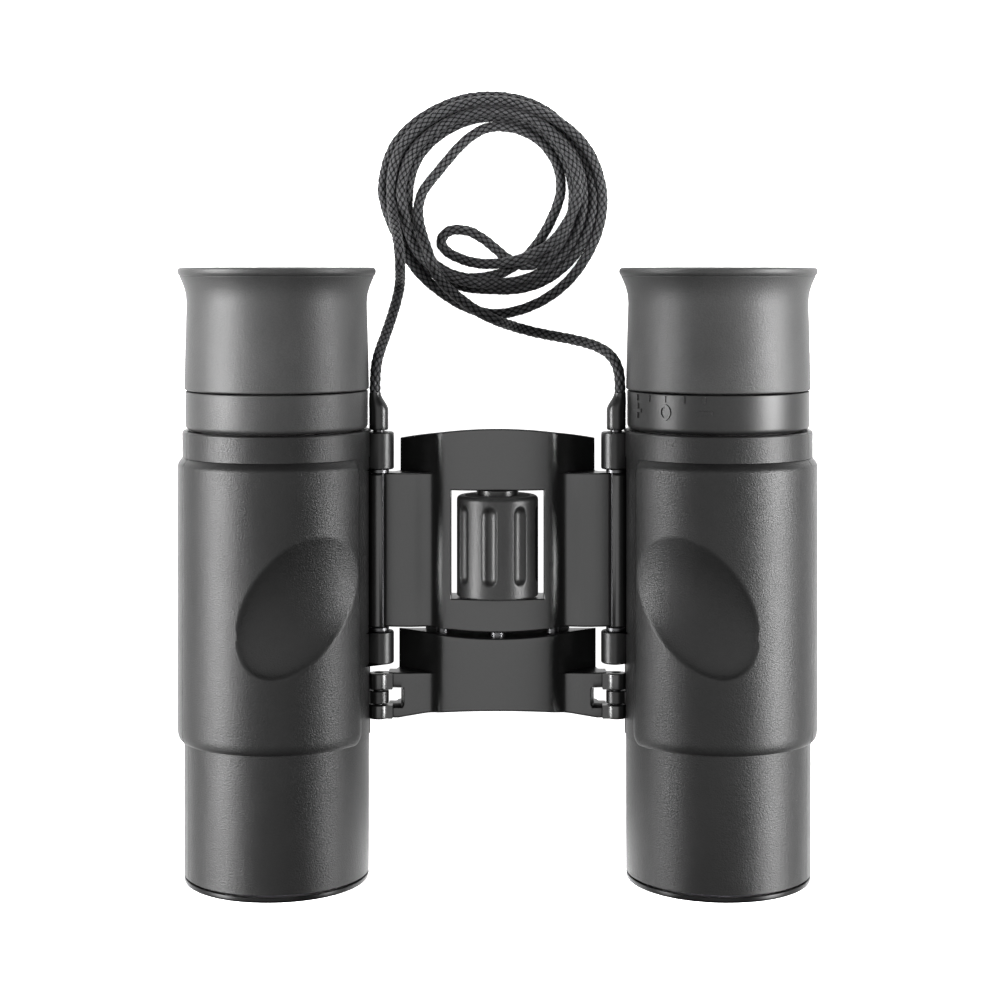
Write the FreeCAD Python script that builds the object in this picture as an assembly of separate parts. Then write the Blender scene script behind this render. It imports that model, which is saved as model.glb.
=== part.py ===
import FreeCAD, Part
import math
import os

from FreeCAD import Rotation, Vector

# Compact folding binoculars, lying on a table with the thumb side up.
# Units are millimetres. X runs across the two barrels, Y towards the eyecups, Z up.
# The origin is the bottom centre of the two barrels; the table is Z = 0.

# ---- driving dimensions -------------------------------------------------------------------
AXIS_Z = 17.0             # height of both optical axes and both hinge axes
BARREL_X = 37.9           # distance of each optical axis from the middle
HINGE_X = 20.4            # distance of each hinge axis from the middle
REAR_Y = 52.35            # rim of the eyecups; the objective rims are at -REAR_Y
RUNNING_GAP = 0.08        # radial clearance of every sliding or turning fit
BODY_GAP = 0.3            # clearance between pieces that move past each other

TUBE_R = 15.0             # barrel tube under the rubber armour
BORE_R = 13.6             # bore of the barrel tube
TUBE_FRONT_Y = -51.1
TUBE_REAR_Y = 24.4

ARMOUR_LOW_R = 15.8       # rubber sleeve near the objective
ARMOUR_BASE_R = 16.0      # rubber sleeve beside the hinge
ARMOUR_COLLAR_R = 16.15   # collar below the eyepiece ring
PAD_R = 16.95             # raised grip pad
PAD_FRONT_Y = -28.0
PAD_REAR_Y = 20.0
COLLAR_REAR_Y = 24.5
PAD_GAP_ANGLE = 25.0      # half angle beside the hinge that the pad leaves free

THUMB_LONG = 12.3         # half length of the oval thumb recess
THUMB_SHORT = 7.7         # half width of the oval thumb recess
THUMB_DEPTH = 1.7
THUMB_X = 33.1
THUMB_Y = -4.6
THUMB_TILT = 36.0         # lean of the oval from the barrel axis, in degrees

LUG_R = 2.6               # barrel lugs on the main hinge
LUG_REAR = (17.7, 24.1)
LUG_FRONT = (-15.6, -10.05)
KNUCKLE_R = 2.1           # bridge knuckle between the lugs
KNUCKLE = (-9.4, 17.05)
RELIEF_R = 2.6            # groove in the armour around the knuckle
PIN_R = 1.0               # main hinge pin

FORK_R = 1.74             # fork of the focus slider and knuckle of the focus arm
FORK_RELIEF_R = 2.1
FORK_REAR = (-20.1, -17.3)
FORK_FRONT = (-25.1, -22.7)
ARM_KNUCKLE = (-22.5, -20.3)
LINK_PIN_R = 0.8
FOCUS_BACK = 0.7          # focus travel towards the eyecups
FOCUS_OUT = 2.9           # focus travel towards the objectives

LENS_R = 12.6             # objective lens
LENS_FRONT_Y = -47.9
LENS_REAR_Y = -43.2
LENS_BULGE = 1.2
LENS_RING_LONG = 1.0
BEZEL_R = 15.8            # rim of the barrel's front end

HUB_HALF = 16.9           # half width of the bridge hub
HUB_CROWN = 7.7           # height of its arched front
HUB_DROP = 4.6            # its flat back lies this far below the hinge axes
HUB_FRONT_SIDE_Y = -8.5
HUB_FRONT_MID_Y = -10.0
HUB_REAR_SIDE_Y = 22.7
HUB_REAR_MID_Y = 24.8
TONGUE_HALF = 12.5        # thin tongue behind the slider that closes the gap to the hub
TONGUE = (-14.5, -5.0)
TONGUE_THICK = 0.8
WING_FRONT = 1.0          # wing face above the hinge axes
WING_THICK = 4.0
WING_INNER = 9.0
WING_OUTER = 19.5
WINDOW_HALF = 7.95        # window for the focus wheel
WINDOW = (-4.3, 14.2)

SLIDER_HALF = 17.1
SLIDER_REAR_SIDE_Y = -9.5   # ends of its arched rear edge
SLIDER_REAR_MID_Y = -11.0
SLIDER_REAR_STOP_Y = -10.4  # the arch is cut square here to clear the wings
SLIDER_FRONT_SIDE_Y = -25.0
SLIDER_FRONT_MID_Y = -23.4
SLIDER_WING_REAR_Y = -17.2

WHEEL_Z = AXIS_Z + 0.5    # axis of the focus wheel
WHEEL_R = 6.98
WHEEL_CORE_R = 5.5
WHEEL = (-3.95, 13.27)
FLUTE_COUNT = 8
FLUTE_PHASE = -11.3
FLUTE_R = 1.25            # radius of each flute's cut
FLUTE = (-2.7, 10.8)
SCREW_R = 1.5             # journals of the focus screw
THREAD_R = 1.3            # its threaded end
NUT_R = 2.1
ROD_R = 1.0               # guide rods of the focus slider
ROD_X = 9.5
ROD_Z = AXIS_Z - 1.0
ROD_SEAT = 4.0            # how far the rods reach into the bridge
NUT_LONG = 4.0

RING = (24.65, 31.2)      # eyepiece ring on the left, diopter ring on the right
RING_R = 15.6
HOUSING_R = 12.6          # fixed eyepiece tube that carries the ring and the eyecup
HOUSING_BORE_R = 10.6
HOUSING_REAR_Y = 44.0
SLEEVE = (31.8, 44.4)     # sliding sleeve of the twist-up eyecup
SLEEVE_R = 14.0
CUP_FRONT_Y = 31.4
CUP_WAIST_R = 15.4
CUP_FOOT_R = 15.8
CUP_LIP_R = 17.0

PRISM_HALF = 7.0          # half width of both prisms
CAGE_HALF = 13.5          # half length of the prism cage
CAGE_BORE_R = 6.0         # light path through its end walls
POCKET_HALF = 11.4        # half length of its prism pocket
POCKET_DEPTH = 10.4       # floor of the pocket below the optical axis
CLIP_HALF = 2.0           # half length of the spring clip round the cage
CLIP_THICK = 0.5

OBJECTIVE_STOP_R = 11.9   # clear opening in front of the objective lens
CELL_WALL_R = 12.4        # bore of the objective cell behind the lens
CELL_REAR_Y = -18.6
FIELD_LENS_R = 8.0
FIELD_LENS_Y = (23.0, 25.4)
EYE_LENS_R = 9.2
EYE_LENS_Y = (36.0, 40.6)
EYE_CELL_Y = (22.0, 42.6)
PIN_Y = 27.9              # the diopter ring's drive pin
DRIVE_PIN_R = 0.75
CELL_GROOVE_R = 9.6       # bottom of the groove that it works in
DIOPTER_TRAVEL = 1.2      # eyepiece travel each way
PIN_WINDOW_HALF = 40.0    # half angle of the slot around the upright direction

CORD_R = 0.9              # braided neck cord
CAP_R = 1.65              # caps on the hinge pins that hold the cord's ends
CAP = (24.4, 29.6)
CAP_TIP_Y = 30.8
CAP_TIP_R = 1.0
CAP_TIP_SHIFT = 0.65      # the tip leans away from the middle
PIN_IN_CAP = 2.4          # how far the pin reaches into its cap
COIL_X = -1.0             # middle of the cord's coil on the table
COIL_Y = 64.3
COIL_OUTER_R = 20.6
COIL_INNER_R = 12.9
COIL_CROWN = 1.6          # half width of the coil's top
COIL_HEIGHT = 5.0

# Route of each cord lead, from its cap down to the table and into the coil.
LEFT_LEAD = [(-21.05, CAP_TIP_Y, 17.0), (-21.05, 33.2, 16.9), (-20.9, 35.7, 15.9), (-20.4, 38.0, 13.6),
             (-19.7, 40.2, 10.4), (-18.9, 42.9, 7.0), (-18.1, 45.9, 3.9), (-17.4, 49.3, 1.8),
             (-17.0, 52.8, 0.95), (-17.3, 56.3, 0.95)]
RIGHT_LEAD = [(21.05, CAP_TIP_Y, 17.0), (21.1, 33.0, 16.8), (20.75, 35.2, 15.9), (19.75, 37.1, 14.4),
              (17.55, 38.55, 11.9), (14.5, 39.4, 8.6), (11.0, 40.0, 5.3), (7.2, 40.6, 2.7),
              (3.3, 41.6, 1.3), (-0.6, 43.1, 0.95), (-4.7, 45.2, 0.95)]


# ---- helpers --------------------------------------------------------------------------------
def rod(radius, span, x=0.0, z=AXIS_Z):
    """A cylinder along Y."""
    return Part.makeCylinder(radius, span[1] - span[0], Vector(x, span[0], z), Vector(0, 1, 0))


def ring(outer, inner, span, x=0.0, z=AXIS_Z):
    """A tube along Y."""
    return rod(outer, span, x, z).cut(rod(inner, span, x, z))


def block(x_span, y_span, z_span):
    """A box between two corners."""
    size = [span[1] - span[0] for span in (x_span, y_span, z_span)]
    return Part.makeBox(size[0], size[1], size[2], Vector(x_span[0], y_span[0], z_span[0]))


def face_of(points):
    """A flat face inside a closed outline."""
    return Part.Face(Part.makePolygon(points + [points[0]]))


def turned(profile, angle=360.0, start=0.0):
    """Turn a (radius, y) outline about the left barrel's axis, from the upright direction."""
    points = [Vector(-BARREL_X, y, AXIS_Z + radius) for radius, y in profile]
    centre = Vector(-BARREL_X, 0, AXIS_Z)
    face = face_of(points)
    face.rotate(centre, Vector(0, 1, 0), start)
    return face.revolve(centre, Vector(0, 1, 0), angle)


def half_ellipse(centre, half_width, height, side, up):
    """An upper half ellipse as an edge, standing on its centre."""
    low = centre - side * half_width
    high = centre + side * half_width
    if half_width > height:
        curve = Part.Ellipse(high, centre + up * height, centre)
    else:
        curve = Part.Ellipse(centre + up * height, low, centre)
    first = curve.parameter(high)
    last = curve.parameter(low)
    middle = curve.parameter(centre + up * height)
    if not first < middle < last:
        last += 2 * math.pi
    return curve.toShape(first, last)


def arched_bar(half_width, y_span):
    """Hub section: flat back and sides, arched front."""
    foot = AXIS_Z - HUB_DROP
    arch = half_ellipse(Vector(0, y_span[0], foot), half_width, HUB_CROWN, Vector(1, 0, 0), Vector(0, 0, 1))
    base = Part.makeLine(Vector(-half_width, y_span[0], foot), Vector(half_width, y_span[0], foot))
    section = Part.Face(Part.Wire([arch, base]))
    return section.extrude(Vector(0, y_span[1] - y_span[0], 0))


def plan_arc(half_width, side_y, middle_y, far_y):
    """A tall block whose end is a shallow arc in plan."""
    left = Vector(-half_width, side_y, 0)
    right = Vector(half_width, side_y, 0)
    arc = Part.Arc(left, Vector(0, middle_y, 0), right).toShape()
    back = Part.makePolygon([right, Vector(half_width, far_y, 0), Vector(-half_width, far_y, 0), left])
    face = Part.Face(Part.Wire([arc] + back.Edges))
    return face.extrude(Vector(0, 0, 3 * AXIS_Z))


def lens(x, radius, y_span, front_bulge, rear_bulge):
    """A lens; each bulge is how far its face stands out of the rim, and a flat face has none."""
    body = rod(radius, (y_span[0] - front_bulge, y_span[1] + rear_bulge), x)
    for rim_y, bulge, way in ((y_span[0], front_bulge, 1), (y_span[1], rear_bulge, -1)):
        if bulge > 0:
            ball_r = (radius ** 2 + bulge ** 2) / (2 * bulge)
            centre = Vector(x, rim_y + way * (ball_r - bulge), AXIS_Z)
            body = body.common(Part.makeSphere(ball_r, centre))
    return body


def solid_of(shape):
    """The shape as one solid with outward faces."""
    shape = shape.removeSplitter()
    if len(shape.Solids) == 1:
        shape = shape.Solids[0]
    if shape.Volume < 0:
        shape.reverse()
    return shape


def mirrored(shape):
    """The same piece on the other side of the middle plane."""
    return shape.mirror(Vector(0, 0, 0), Vector(1, 0, 0))


def save(name, shape):
    """Write one node."""
    shape = solid_of(shape)
    shape.exportStep("parts/" + name + ".step")
    box = shape.BoundBox
    print("%-28s solids %d valid %s volume %9.2f  z %.2f to %.2f"
          % (name, len(shape.Solids), shape.isValid(), shape.Volume, box.ZMin, box.ZMax))


def save_pair(name, shape):
    """Write a piece of the left barrel and its mirror image."""
    save("left_" + name, shape)
    save("right_" + name, mirrored(shape))


# ---- bridge, its hinge pins and the focus wheel ----------------------------------------------
def hinge_sides():
    """The X places of the two hinges."""
    return (-HINGE_X, HINGE_X)


def make_bridge_body():
    hub = arched_bar(HUB_HALF, (HUB_FRONT_MID_Y - 1.0, HUB_REAR_MID_Y + 1.0))
    hub = hub.common(plan_arc(HUB_HALF + 0.01, HUB_REAR_SIDE_Y, HUB_REAR_MID_Y, HUB_FRONT_MID_Y - 2.0))
    hub = hub.common(plan_arc(HUB_HALF + 0.01, HUB_FRONT_SIDE_Y, HUB_FRONT_MID_Y, HUB_REAR_MID_Y + 2.0))
    wing_top = AXIS_Z + WING_FRONT
    body = hub
    for side in (-1, 1):
        across = sorted((side * WING_INNER, side * WING_OUTER))
        wing = block(across, KNUCKLE, (wing_top - WING_THICK, wing_top))
        knuckle = rod(KNUCKLE_R, KNUCKLE, side * HINGE_X)
        body = body.fuse([wing, knuckle])
        line = sorted((side * (WING_OUTER - 0.2), side * (WING_OUTER + 0.1)))
        body = body.cut(block(line, KNUCKLE, (wing_top - 0.35, wing_top + 2.0)))
        body = body.cut(rod(PIN_R, (KNUCKLE[0] - 1, KNUCKLE[1] + 1), side * HINGE_X))
        body = body.cut(rod(ROD_R, (HUB_FRONT_MID_Y - 1, HUB_FRONT_MID_Y + ROD_SEAT), side * ROD_X, ROD_Z))
    foot = AXIS_Z - HUB_DROP
    across = (-TONGUE_HALF, TONGUE_HALF)
    body = body.fuse(block(across, TONGUE, (foot - BODY_GAP - TONGUE_THICK, foot - BODY_GAP)))
    body = body.fuse(block(across, (KNUCKLE[0], TONGUE[1]), (foot - BODY_GAP - TONGUE_THICK, foot + 1.0)))
    body = body.cut(block((-WINDOW_HALF, WINDOW_HALF), WINDOW, (0, 2 * AXIS_Z)))
    journal = SCREW_R + RUNNING_GAP
    body = body.cut(rod(journal, (HUB_FRONT_MID_Y - 1, 19.0), 0, WHEEL_Z))
    return body


def make_hinge_pin(x):
    return rod(PIN_R, (LUG_FRONT[0] + 0.4, CAP[0] + PIN_IN_CAP), x)


def make_hinge_washers():
    places = []
    for x in hinge_sides():
        for low, high in ((KNUCKLE[1], LUG_REAR[0]), (LUG_FRONT[1], KNUCKLE[0])):
            places.append(ring(1.75, PIN_R, (low + 0.08, high - 0.08), x))
    return Part.makeCompound(places)


def make_lanyard_cap(x):
    side = math.copysign(1.0, x)
    tip = Vector(x + side * CAP_TIP_SHIFT, CAP_TIP_Y, AXIS_Z)
    low = Part.Wire(Part.makeCircle(CAP_R, Vector(x, CAP[1], AXIS_Z), Vector(0, 1, 0)))
    high = Part.Wire(Part.makeCircle(CAP_TIP_R, tip, Vector(0, 1, 0)))
    cap = rod(CAP_R, CAP, x).fuse(Part.makeLoft([low, high], True))
    return cap.cut(rod(PIN_R, (CAP[0] - 1, CAP[0] + PIN_IN_CAP), x))


def make_thrust_washer():
    return ring(3.6, SCREW_R + RUNNING_GAP, (WHEEL[1] + 0.06, WINDOW[1]), 0, WHEEL_Z)


def make_guide_rods():
    rods = [rod(ROD_R, (-20.0, HUB_FRONT_MID_Y + ROD_SEAT), side * ROD_X, ROD_Z) for side in (-1, 1)]
    return Part.makeCompound(rods)


def make_wheel_core():
    core = rod(WHEEL_CORE_R, WHEEL, 0, WHEEL_Z)
    return core.cut(rod(SCREW_R, (WHEEL[0] - 1, WHEEL[1] + 1), 0, WHEEL_Z))


def make_wheel_grip():
    grip = ring(WHEEL_R, WHEEL_CORE_R, WHEEL, 0, WHEEL_Z)
    for index in range(FLUTE_COUNT):
        angle = math.radians(FLUTE_PHASE + index * 360.0 / FLUTE_COUNT)
        distance = WHEEL_R + 0.35
        x = distance * math.sin(angle)
        z = WHEEL_Z + distance * math.cos(angle)
        flute = rod(FLUTE_R, (FLUTE[0] + FLUTE_R, FLUTE[1] - FLUTE_R), x, z)
        for y in (FLUTE[0] + FLUTE_R, FLUTE[1] - FLUTE_R):
            flute = flute.fuse(Part.makeSphere(FLUTE_R, Vector(x, y, z)))
        grip = grip.cut(flute)
    return grip


def make_focus_screw():
    journal = rod(SCREW_R, (HUB_FRONT_MID_Y - 0.2, 18.6), 0, WHEEL_Z)
    return journal.fuse(rod(THREAD_R, (-22.6, HUB_FRONT_MID_Y), 0, WHEEL_Z))


# ---- focus slider ----------------------------------------------------------------------------
def make_focus_slider():
    body = arched_bar(SLIDER_HALF, (SLIDER_FRONT_SIDE_Y - 0.1, SLIDER_REAR_STOP_Y))
    wide = SLIDER_HALF + 0.01
    body = body.common(plan_arc(wide, SLIDER_FRONT_SIDE_Y, SLIDER_FRONT_MID_Y, SLIDER_REAR_STOP_Y + 2.0))
    body = body.common(plan_arc(wide, SLIDER_REAR_SIDE_Y, SLIDER_REAR_MID_Y, SLIDER_FRONT_SIDE_Y - 2.0))
    wing_top = AXIS_Z + WING_FRONT
    for side in (-1, 1):
        x = side * HINGE_X
        across = sorted((side * WING_INNER, side * (HINGE_X - FORK_R)))
        body = body.fuse(block(across, (FORK_FRONT[0], SLIDER_WING_REAR_Y), (wing_top - WING_THICK, wing_top)))
        for span in (FORK_REAR, FORK_FRONT):
            web = sorted((side * (HINGE_X - FORK_R - 0.5), x))
            body = body.fuse([rod(FORK_R, span, x), block(web, span, (AXIS_Z - FORK_R, AXIS_Z + 1.2))])
        slot = sorted((side * 16.6, side * (HINGE_X + 3)))
        body = body.cut(block(slot, (FORK_FRONT[1], FORK_REAR[0]), (0, 2 * AXIS_Z)))
        body = body.cut(rod(LINK_PIN_R, (FORK_FRONT[0] - 1, FORK_REAR[1] + 1), x))
        body = body.cut(rod(ROD_R + RUNNING_GAP, (-30, SLIDER_REAR_MID_Y + 1), side * ROD_X, ROD_Z))
    body = body.cut(rod(THREAD_R + 0.2, (-30, SLIDER_REAR_MID_Y + 1), 0, WHEEL_Z))
    return body.cut(rod(NUT_R, (SLIDER_REAR_MID_Y - NUT_LONG, SLIDER_REAR_MID_Y + 1), 0, WHEEL_Z))


def make_focus_nut():
    span = (SLIDER_REAR_MID_Y - NUT_LONG, SLIDER_REAR_MID_Y - 0.2)
    return ring(NUT_R, THREAD_R + RUNNING_GAP, span, 0, WHEEL_Z)


def make_link_pins():
    return Part.makeCompound([rod(LINK_PIN_R, (FORK_FRONT[0], FORK_REAR[1]), x) for x in hinge_sides()])


# ---- left barrel; the right one is its mirror image -------------------------------------------
def lug_shapes(radius):
    """Both lugs and their webs, with the radius given."""
    pieces = []
    for span in (LUG_REAR, LUG_FRONT):
        pieces.append(rod(radius, span, -HINGE_X))
        pieces.append(block((-BARREL_X + TUBE_R - 0.9, -HINGE_X), span, (AXIS_Z - radius, AXIS_Z + radius)))
    return pieces


def hinge_reliefs():
    """The room that the bridge, the focus slider and the lanyard cap need beside the barrel."""
    slider = (FORK_FRONT[0] - FOCUS_OUT - BODY_GAP, LUG_FRONT[0])
    cap = (LUG_REAR[1], COLLAR_REAR_Y + 1.0)
    return [rod(RELIEF_R, (LUG_FRONT[1], LUG_REAR[0]), -HINGE_X), rod(FORK_RELIEF_R, slider, -HINGE_X),
            rod(CAP_R + BODY_GAP, cap, -HINGE_X)]


def make_barrel_tube():
    tube = ring(TUBE_R, BORE_R, (TUBE_FRONT_Y, TUBE_REAR_Y), -BARREL_X)
    bore = rod(BORE_R, (TUBE_FRONT_Y - 1, TUBE_REAR_Y + 1), -BARREL_X)
    tube = tube.cut(hinge_reliefs()[0])
    for piece in lug_shapes(LUG_R):
        tube = tube.fuse(piece)
    tube = tube.cut(bore)
    tube = tube.cut(hinge_reliefs()[1])
    tube = tube.cut(rod(PIN_R + RUNNING_GAP, (LUG_FRONT[0] - 1, LUG_REAR[1] + 1), -HINGE_X))
    return tube.cut(make_arm_slot())


def make_arm_slot():
    """The slot through which the focus arm reaches the objective cell."""
    y_span = (ARM_KNUCKLE[0] - FOCUS_OUT - BODY_GAP, ARM_KNUCKLE[1] + FOCUS_BACK + BODY_GAP)
    return block((-BARREL_X + 10, -HINGE_X + 3), y_span, (AXIS_Z - 1.5, AXIS_Z + 1.5))


def make_armour():
    sleeve = turned([(TUBE_R, TUBE_FRONT_Y + 0.1), (ARMOUR_LOW_R, TUBE_FRONT_Y + 0.1),
                     (ARMOUR_LOW_R, PAD_FRONT_Y), (ARMOUR_BASE_R, PAD_FRONT_Y),
                     (ARMOUR_BASE_R, PAD_REAR_Y), (ARMOUR_COLLAR_R, PAD_REAR_Y),
                     (ARMOUR_COLLAR_R, COLLAR_REAR_Y), (TUBE_R, COLLAR_REAR_Y)])
    pad = turned([(TUBE_R + 0.2, PAD_FRONT_Y), (PAD_R - 0.6, PAD_FRONT_Y), (PAD_R, PAD_FRONT_Y + 1.6),
                  (PAD_R, PAD_REAR_Y - 1.4), (ARMOUR_COLLAR_R, PAD_REAR_Y), (TUBE_R + 0.2, PAD_REAR_Y)],
                 360.0 - 2 * PAD_GAP_ANGLE, 90.0 + PAD_GAP_ANGLE)
    armour = sleeve.fuse(pad)
    armour = armour.cut(make_thumb_recess())
    for piece in lug_shapes(LUG_R + 0.05) + hinge_reliefs() + [make_arm_slot()]:
        armour = armour.cut(piece)
    return armour


def make_thumb_recess():
    """An oval dish, leaning outwards towards the objective."""
    dish = Part.makeCylinder(1.0, PAD_R + 0.2, Vector(0, 0, 0), Vector(0, 0, 1))
    matrix = FreeCAD.Matrix()
    matrix.scale(Vector(THUMB_SHORT, THUMB_LONG, 1.0))
    dish = dish.transformGeometry(matrix)
    dish.rotate(Vector(0, 0, 0), Vector(0, 0, 1), -THUMB_TILT)
    dish.translate(Vector(-THUMB_X, THUMB_Y, AXIS_Z))
    floor = rod(PAD_R - THUMB_DEPTH + 0.75, (-60, 60), -BARREL_X)
    return dish.cut(floor)


def make_objective_bezel():
    inner = TUBE_R - 1.1
    return turned([(inner, -REAR_Y), (BEZEL_R - 0.7, -REAR_Y), (BEZEL_R - 0.15, -REAR_Y + 0.25),
                   (BEZEL_R, -REAR_Y + 0.7), (BEZEL_R, TUBE_FRONT_Y), (inner, TUBE_FRONT_Y)])


def make_objective_cell():
    outer = BORE_R - RUNNING_GAP
    front_y = LENS_FRONT_Y - 1.0
    seat_y = LENS_REAR_Y + LENS_RING_LONG + 0.2
    return turned([(OBJECTIVE_STOP_R, front_y), (outer - 0.5, front_y), (outer, front_y + 0.5),
                   (outer, CELL_REAR_Y), (CELL_WALL_R, CELL_REAR_Y), (CELL_WALL_R, seat_y), (LENS_R, seat_y),
                   (LENS_R, LENS_FRONT_Y), (OBJECTIVE_STOP_R, LENS_FRONT_Y)])


def make_lens_ring():
    return ring(LENS_R, LENS_R - 0.9, (LENS_REAR_Y, LENS_REAR_Y + LENS_RING_LONG), -BARREL_X)


def make_focus_arm():
    knuckle = rod(FORK_R, ARM_KNUCKLE, -HINGE_X)
    bar = block((-BARREL_X + BORE_R - RUNNING_GAP, -HINGE_X), ARM_KNUCKLE, (AXIS_Z - 1.2, AXIS_Z + 1.2))
    inside = rod(BORE_R - RUNNING_GAP, (-30, 0), -BARREL_X)
    arm = knuckle.fuse(bar).cut(inside)
    return arm.cut(rod(LINK_PIN_R + RUNNING_GAP, (-30, 0), -HINGE_X))


def make_prism_cage():
    cage = rod(BORE_R, (-CAGE_HALF, CAGE_HALF), -BARREL_X)
    half = PRISM_HALF + 0.1
    pocket = block((-BARREL_X - half, -BARREL_X + half), (-POCKET_HALF, POCKET_HALF),
                   (AXIS_Z - POCKET_DEPTH, AXIS_Z + BORE_R + 1))
    light_path = rod(CAGE_BORE_R, (-CAGE_HALF - 1, CAGE_HALF + 1), -BARREL_X)
    clip_y = CLIP_HALF + 0.1
    clip_seat = ring(BORE_R + 1, BORE_R - CLIP_THICK - 0.1, (-clip_y, clip_y), -BARREL_X)
    return cage.cut(pocket).cut(light_path).cut(clip_seat)


def prism_block(outline):
    """A prism from its (y, z) outline about the optical axis."""
    points = [Vector(-BARREL_X - PRISM_HALF, y, AXIS_Z + z) for y, z in outline]
    return face_of(points).extrude(Vector(2 * PRISM_HALF, 0, 0))


def make_half_penta_prism():
    return prism_block([(-11.2, 7.0), (-8.0, 7.0), (5.0, -6.0), (3.5, -10.0), (-11.2, -4.0)])


def make_roof_prism():
    body = prism_block([(-7.5, 7.5), (5.5, -5.5), (11.2, -5.5), (11.2, 6.5), (2.0, 10.8)])
    ridge = [(-PRISM_HALF, -12), (PRISM_HALF, -12), (PRISM_HALF, 5.5), (0, 11.5), (-PRISM_HALF, 5.5)]
    points = [Vector(-BARREL_X + x, -20, AXIS_Z + z) for x, z in ridge]
    return body.common(face_of(points).extrude(Vector(0, 40, 0)))


def make_prism_clip():
    """A split spring ring, open at the back."""
    clip = ring(BORE_R - 0.1, BORE_R - 0.1 - CLIP_THICK, (-CLIP_HALF, CLIP_HALF), -BARREL_X)
    opening = PRISM_HALF - 1.0
    return clip.cut(block((-BARREL_X - opening, -BARREL_X + opening), (-CLIP_HALF - 1, CLIP_HALF + 1), (0, AXIS_Z)))


# ---- left eyepiece and eyecup -------------------------------------------------------------------
def pin_window(inner_radius, half_width):
    """The room the drive pin needs as it swings round the eyepiece."""
    outline = [(inner_radius, PIN_Y - half_width), (HOUSING_R + 2, PIN_Y - half_width),
               (HOUSING_R + 2, PIN_Y + half_width), (inner_radius, PIN_Y + half_width)]
    return turned(outline, 2 * PIN_WINDOW_HALF, -PIN_WINDOW_HALF)


def make_eyepiece_housing(pin_slot):
    front_y = CAGE_HALF + 0.5
    housing = turned([(HOUSING_BORE_R, front_y), (BORE_R, front_y), (BORE_R, RING[0] - 0.05),
                      (HOUSING_R, RING[0] - 0.05), (HOUSING_R, HOUSING_REAR_Y),
                      (HOUSING_BORE_R, HOUSING_REAR_Y)])
    if pin_slot:
        housing = housing.cut(pin_window(HOUSING_BORE_R - 2.0, DRIVE_PIN_R + 0.25))
    return housing


def make_eyepiece_cell(pin_groove):
    radius = HOUSING_BORE_R - RUNNING_GAP
    step_y = EYE_LENS_Y[0]
    cell = turned([(FIELD_LENS_R, EYE_CELL_Y[0]), (radius, EYE_CELL_Y[0]), (radius, EYE_CELL_Y[1]),
                   (EYE_LENS_R, EYE_CELL_Y[1]), (EYE_LENS_R, step_y), (FIELD_LENS_R, step_y)])
    if pin_groove:
        cell = cell.cut(pin_window(CELL_GROOVE_R, DRIVE_PIN_R + DIOPTER_TRAVEL + 0.4))
    return cell


def ring_shape(bore):
    """The ring below an eyecup, with its lower edge broken."""
    return turned([(bore, RING[0]), (RING_R - 0.5, RING[0]), (RING_R, RING[0] + 0.5), (RING_R, RING[1]),
                   (bore, RING[1])])


def make_diopter_ring():
    return ring_shape(HOUSING_R + RUNNING_GAP).cut(make_diopter_pin())


def make_diopter_pin():
    """The pin of the diopter ring, standing upright through the housing into the cell's groove."""
    foot = Vector(-BARREL_X, PIN_Y, AXIS_Z + CELL_GROOVE_R + 0.2)
    return Part.makeCylinder(DRIVE_PIN_R, RING_R - 1.2 - CELL_GROOVE_R, foot, Vector(0, 0, 1))


def make_eyecup_sleeve():
    return ring(SLEEVE_R, HOUSING_R + RUNNING_GAP, SLEEVE, -BARREL_X)


def make_eyecup():
    bore = SLEEVE_R + RUNNING_GAP
    return turned([(bore, CUP_FRONT_Y), (CUP_FOOT_R, CUP_FRONT_Y), (15.6, 39.0), (CUP_WAIST_R, 46.8),
                   (15.7, 48.6), (16.6, 50.6), (CUP_LIP_R, 51.4), (CUP_LIP_R - 0.15, 52.1),
                   (CUP_LIP_R - 0.7, REAR_Y), (14.2, REAR_Y), (13.5, 51.9), (12.2, 45.4), (12.2, 44.7),
                   (bore, 44.7)])


# ---- neck cord ------------------------------------------------------------------------------------
def make_cord(points, name):
    """A round tube along straight runs joined by tangent arcs."""
    route = [Vector(*point) for point in points]
    edges = []
    radii = []
    start = route[0]
    for before, corner, after in zip(route, route[1:], route[2:]):
        run_in = corner - before
        run_out = after - corner
        half_turn = run_in.getAngle(run_out) / 2
        trim = 0.45 * min(run_in.Length, run_out.Length)
        radii.append(trim / math.tan(half_turn))
        entry = corner - run_in.normalize() * trim
        leave = corner + run_out.normalize() * trim
        towards = ((entry + leave) * 0.5 - corner).normalize()
        depth = radii[-1] / math.cos(half_turn) - radii[-1]
        edges.append(Part.makeLine(start, entry))
        edges.append(Part.Arc(entry, corner + towards * depth, leave).toShape())
        start = leave
    edges.append(Part.makeLine(start, route[-1]))
    path = Part.Wire(edges)
    section = Part.Wire(Part.makeCircle(CORD_R, route[0], route[1] - route[0]))
    tube = path.makePipeShell([section], True, False)
    expected = math.pi * CORD_R ** 2 * path.Length
    print("%s: length %.1f, radii %s, volume ratio %.4f"
          % (name, path.Length, ["%.1f" % r for r in radii], abs(tube.Volume) / expected))
    return tube


def make_cord_coil():
    """The outer shape of the loosely wound cord."""
    middle = (COIL_INNER_R + COIL_OUTER_R) / 2
    shoulder = COIL_HEIGHT / 2
    outline = [(COIL_INNER_R, 0.0), (COIL_OUTER_R, 0.0), (COIL_OUTER_R, shoulder),
               (middle + COIL_CROWN, COIL_HEIGHT), (middle - COIL_CROWN, COIL_HEIGHT), (COIL_INNER_R, shoulder)]
    points = [Vector(COIL_X + radius, COIL_Y, height + 0.05) for radius, height in outline]
    return face_of(points).revolve(Vector(COIL_X, COIL_Y, 0), Vector(0, 0, 1), 360)


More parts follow.
